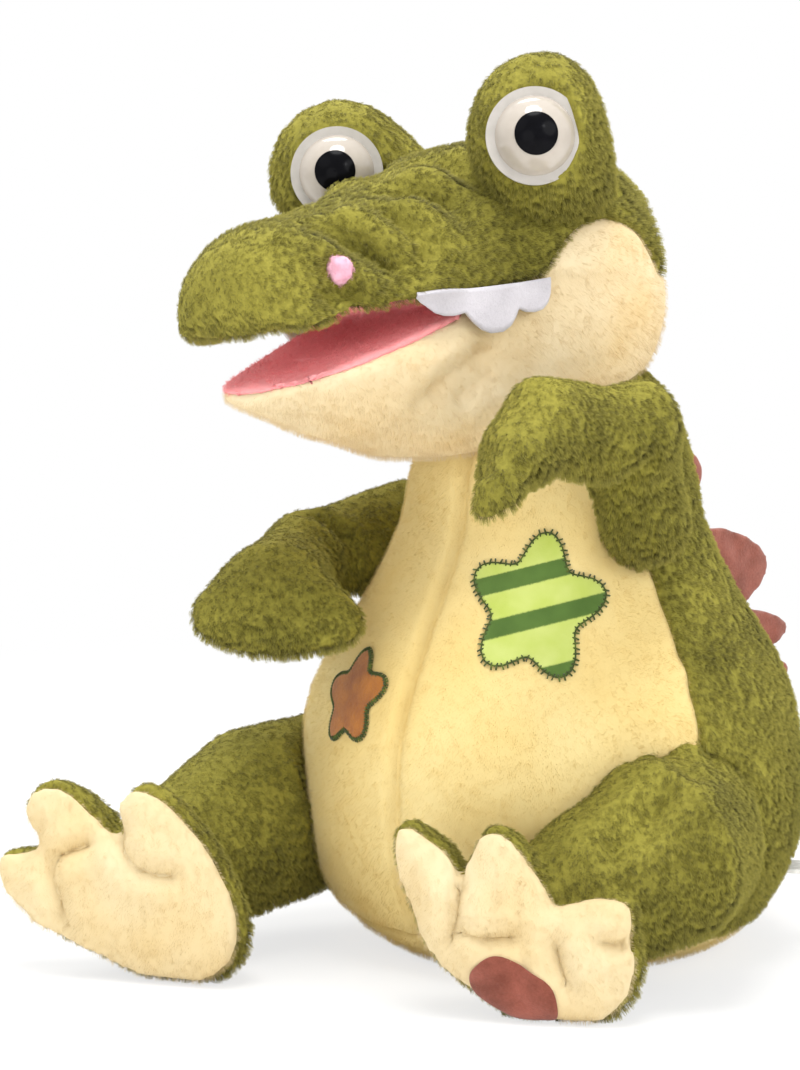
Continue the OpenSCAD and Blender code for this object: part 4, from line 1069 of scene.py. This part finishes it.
# stars: a printed and a plain velour patch, each with an overcast edge
# bands: where the dark stripes lie, in mm along the direction across them
stripeFinish = {
    "lime": ("a0b23c", "c2cc7e"), "green": ("38541a", "587632"), "fibreMm": 0.8, "mottleMm": 9.0,
    "across": (-0.2506, -0.0779, 0.9647), "from": 80, "to": 135,
    "bands": [(84, 90.2), (102.2, 107.6), (115.4, 120.8)]}
orangeFinish = {"dark": "824400", "light": "b06a04", "fibreMm": 0.8, "mottleMm": 7.0}
starLook = {
    "left": {"turn": 33, "cloth": makeStriped("greenPrintedVelour", stripeFinish), "slot": "green_satin",
             "stitch": {"everyMm": 1.7, "inMm": 0.9, "outMm": 1.3, "leanMm": 0.25, "riseMm": 0.7, "thickMm": 0.6}},
    "right": {"turn": -17, "cloth": makeFelt("orangeVelour", orangeFinish), "slot": "orange_satin",
              "stitch": {"everyMm": 0.9, "inMm": 1.0, "outMm": 0.9, "leanMm": 0.1, "riseMm": 0.7, "thickMm": 0.6}}}
for side, look in starLook.items():
    facing = Vector((math.sin(math.radians(look["turn"])), -math.cos(math.radians(look["turn"])), 0))
    loop = resample(topLoop("star_patch_" + side, facing), 0.8)
    star = layPatch("star_%s_velour" % side, loop, torsoTree, 1.0, 1.0)
    dress(star, look["cloth"], look["slot"], backing=0)
    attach(star, "torso")
    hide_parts("star_patch_" + side)
    thread = blanketStitch("star_%s_stitching" % side, loop, torsoTree, look["stitch"])
    dress(thread, sewingThread, look["slot"], backing=0)
    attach(thread, "torso")

# label and nostrils
piece = makeSkin("label_tape", ["label"], {"voxel": 0.5, "rounds": 1})
dress(piece, labelTape, "label_tape", backing=0)
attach(piece, "torso")
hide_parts("label")
knotLook = {"size": (9.0, 8.2, 6.0), "sink": 0.6, "lumps": (3.2, 1.1)}
for side, name in ((1, "left"), (-1, "right")):
    spot, way, face, far = headTree.find_nearest(headPoint(headLook["nostril"][0], side))
    ball = bmesh.new()
    bmesh.ops.create_icosphere(ball, subdivisions=4, radius=0.5 * mm)
    mesh = bpy.data.meshes.new("nostril_knot_" + name)
    ball.to_mesh(mesh)
    ball.free()
    shadeSmooth(mesh)
    knot = newObject("nostril_knot_" + name, mesh)
    aside = way.cross(headUp).normalized()
    turned = np.array([aside.cross(way), aside, way])
    co = getPoints(knot) * np.array(knotLook["size"])
    setPoints(knot, np.array(spot + way * knotLook["sink"] * mm) + co @ turned)
    lump(knot, *knotLook["lumps"], 5 * side)
    dress(knot, *knotSet, backing=0)
    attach(knot, "head")
    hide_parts("nostril_" + name)
print("felt, stars, label and nostrils made")

# pale studio: a white floor that keeps the puppet's shadow, and soft light from above and from the puppet's left
# lamps: place in m, size in m, power in W
studio = {
    "floor": "f6f5f3", "world": 0.92, "nearM": 0.25, "farM": 0.75, "nearWhite": 0.72, "aim": (0, -0.03, 0.14),
    "lamps": {"key": ((-0.15, -1.4, 1.1), 1.0, 1.5), "fill": ((1.4, -0.25, 0.8), 1.0, 7.0),
              "front": ((0.5, -1.3, 0.25), 0.8, 1.8), "top": ((0.15, -0.3, 1.5), 0.8, 18.0),
              "rim": ((-0.7, 0.6, 1.3), 0.8, 9.0), "catch": ((1.2, -0.55, 0.95), 0.16, 0.8)}}
floor = newPiece("studioFloor", [(-6, -6, 0), (6, -6, 0), (6, 6, 0), (-6, 6, 0)], [(0, 1, 2, 3)])
floorPaint, tree = newMaterial("palePaint")
seen = addNode(tree, "LightPath").outputs["Is Camera Ray"]
away = addNode(tree, "VectorMath", {"operation": "LENGTH"}, {0: objectSpot(tree)}).outputs["Value"]
white = addNode(tree, "MapRange", {"interpolation_type": "SMOOTHSTEP"},
                {"Value": away, "From Min": studio["nearM"], "From Max": studio["farM"],
                 "To Min": studio["nearWhite"], "To Max": 1.0}).outputs[0]
paint = addNode(tree, "BsdfDiffuse", None, {"Color": hexColor(studio["floor"])}).outputs[0]
glow = addNode(tree, "Emission", None, {"Color": (1, 1, 1, 1), "Strength": 1.0}).outputs[0]
mixed = addNode(tree, "MixShader", None, {0: maths(tree, "MULTIPLY", seen, white), 1: paint, 2: glow})
addNode(tree, "OutputMaterial", None, {"Surface": mixed.outputs[0]})
floor.data.materials.append(floorPaint)

world = bpy.data.worlds.new("paleStudio")
scene.world = world
world.use_nodes = True
tree = world.node_tree
tree.nodes.clear()
rays = addNode(tree, "LightPath").outputs
seen = maths(tree, "MAXIMUM", rays["Is Camera Ray"], rays["Is Glossy Ray"])
seen = maths(tree, "MAXIMUM", seen, rays["Is Transmission Ray"])
strength = addNode(tree, "MapRange", None, {"Value": seen, "To Min": studio["world"], "To Max": 1.0}).outputs[0]
back = addNode(tree, "Background", None, {"Color": (1, 1, 1, 1), "Strength": strength})
addNode(tree, "OutputWorld", None, {"Surface": back.outputs[0]})

for name, (place, size, power) in studio["lamps"].items():
    lamp = placeAt(name, bpy.data.lights.new(name, "AREA"), place, studio["aim"])
    lamp.data.shape, lamp.data.size, lamp.data.energy = "DISK", size, power
scene.view_settings.view_transform = "Standard"
print("studio lit")
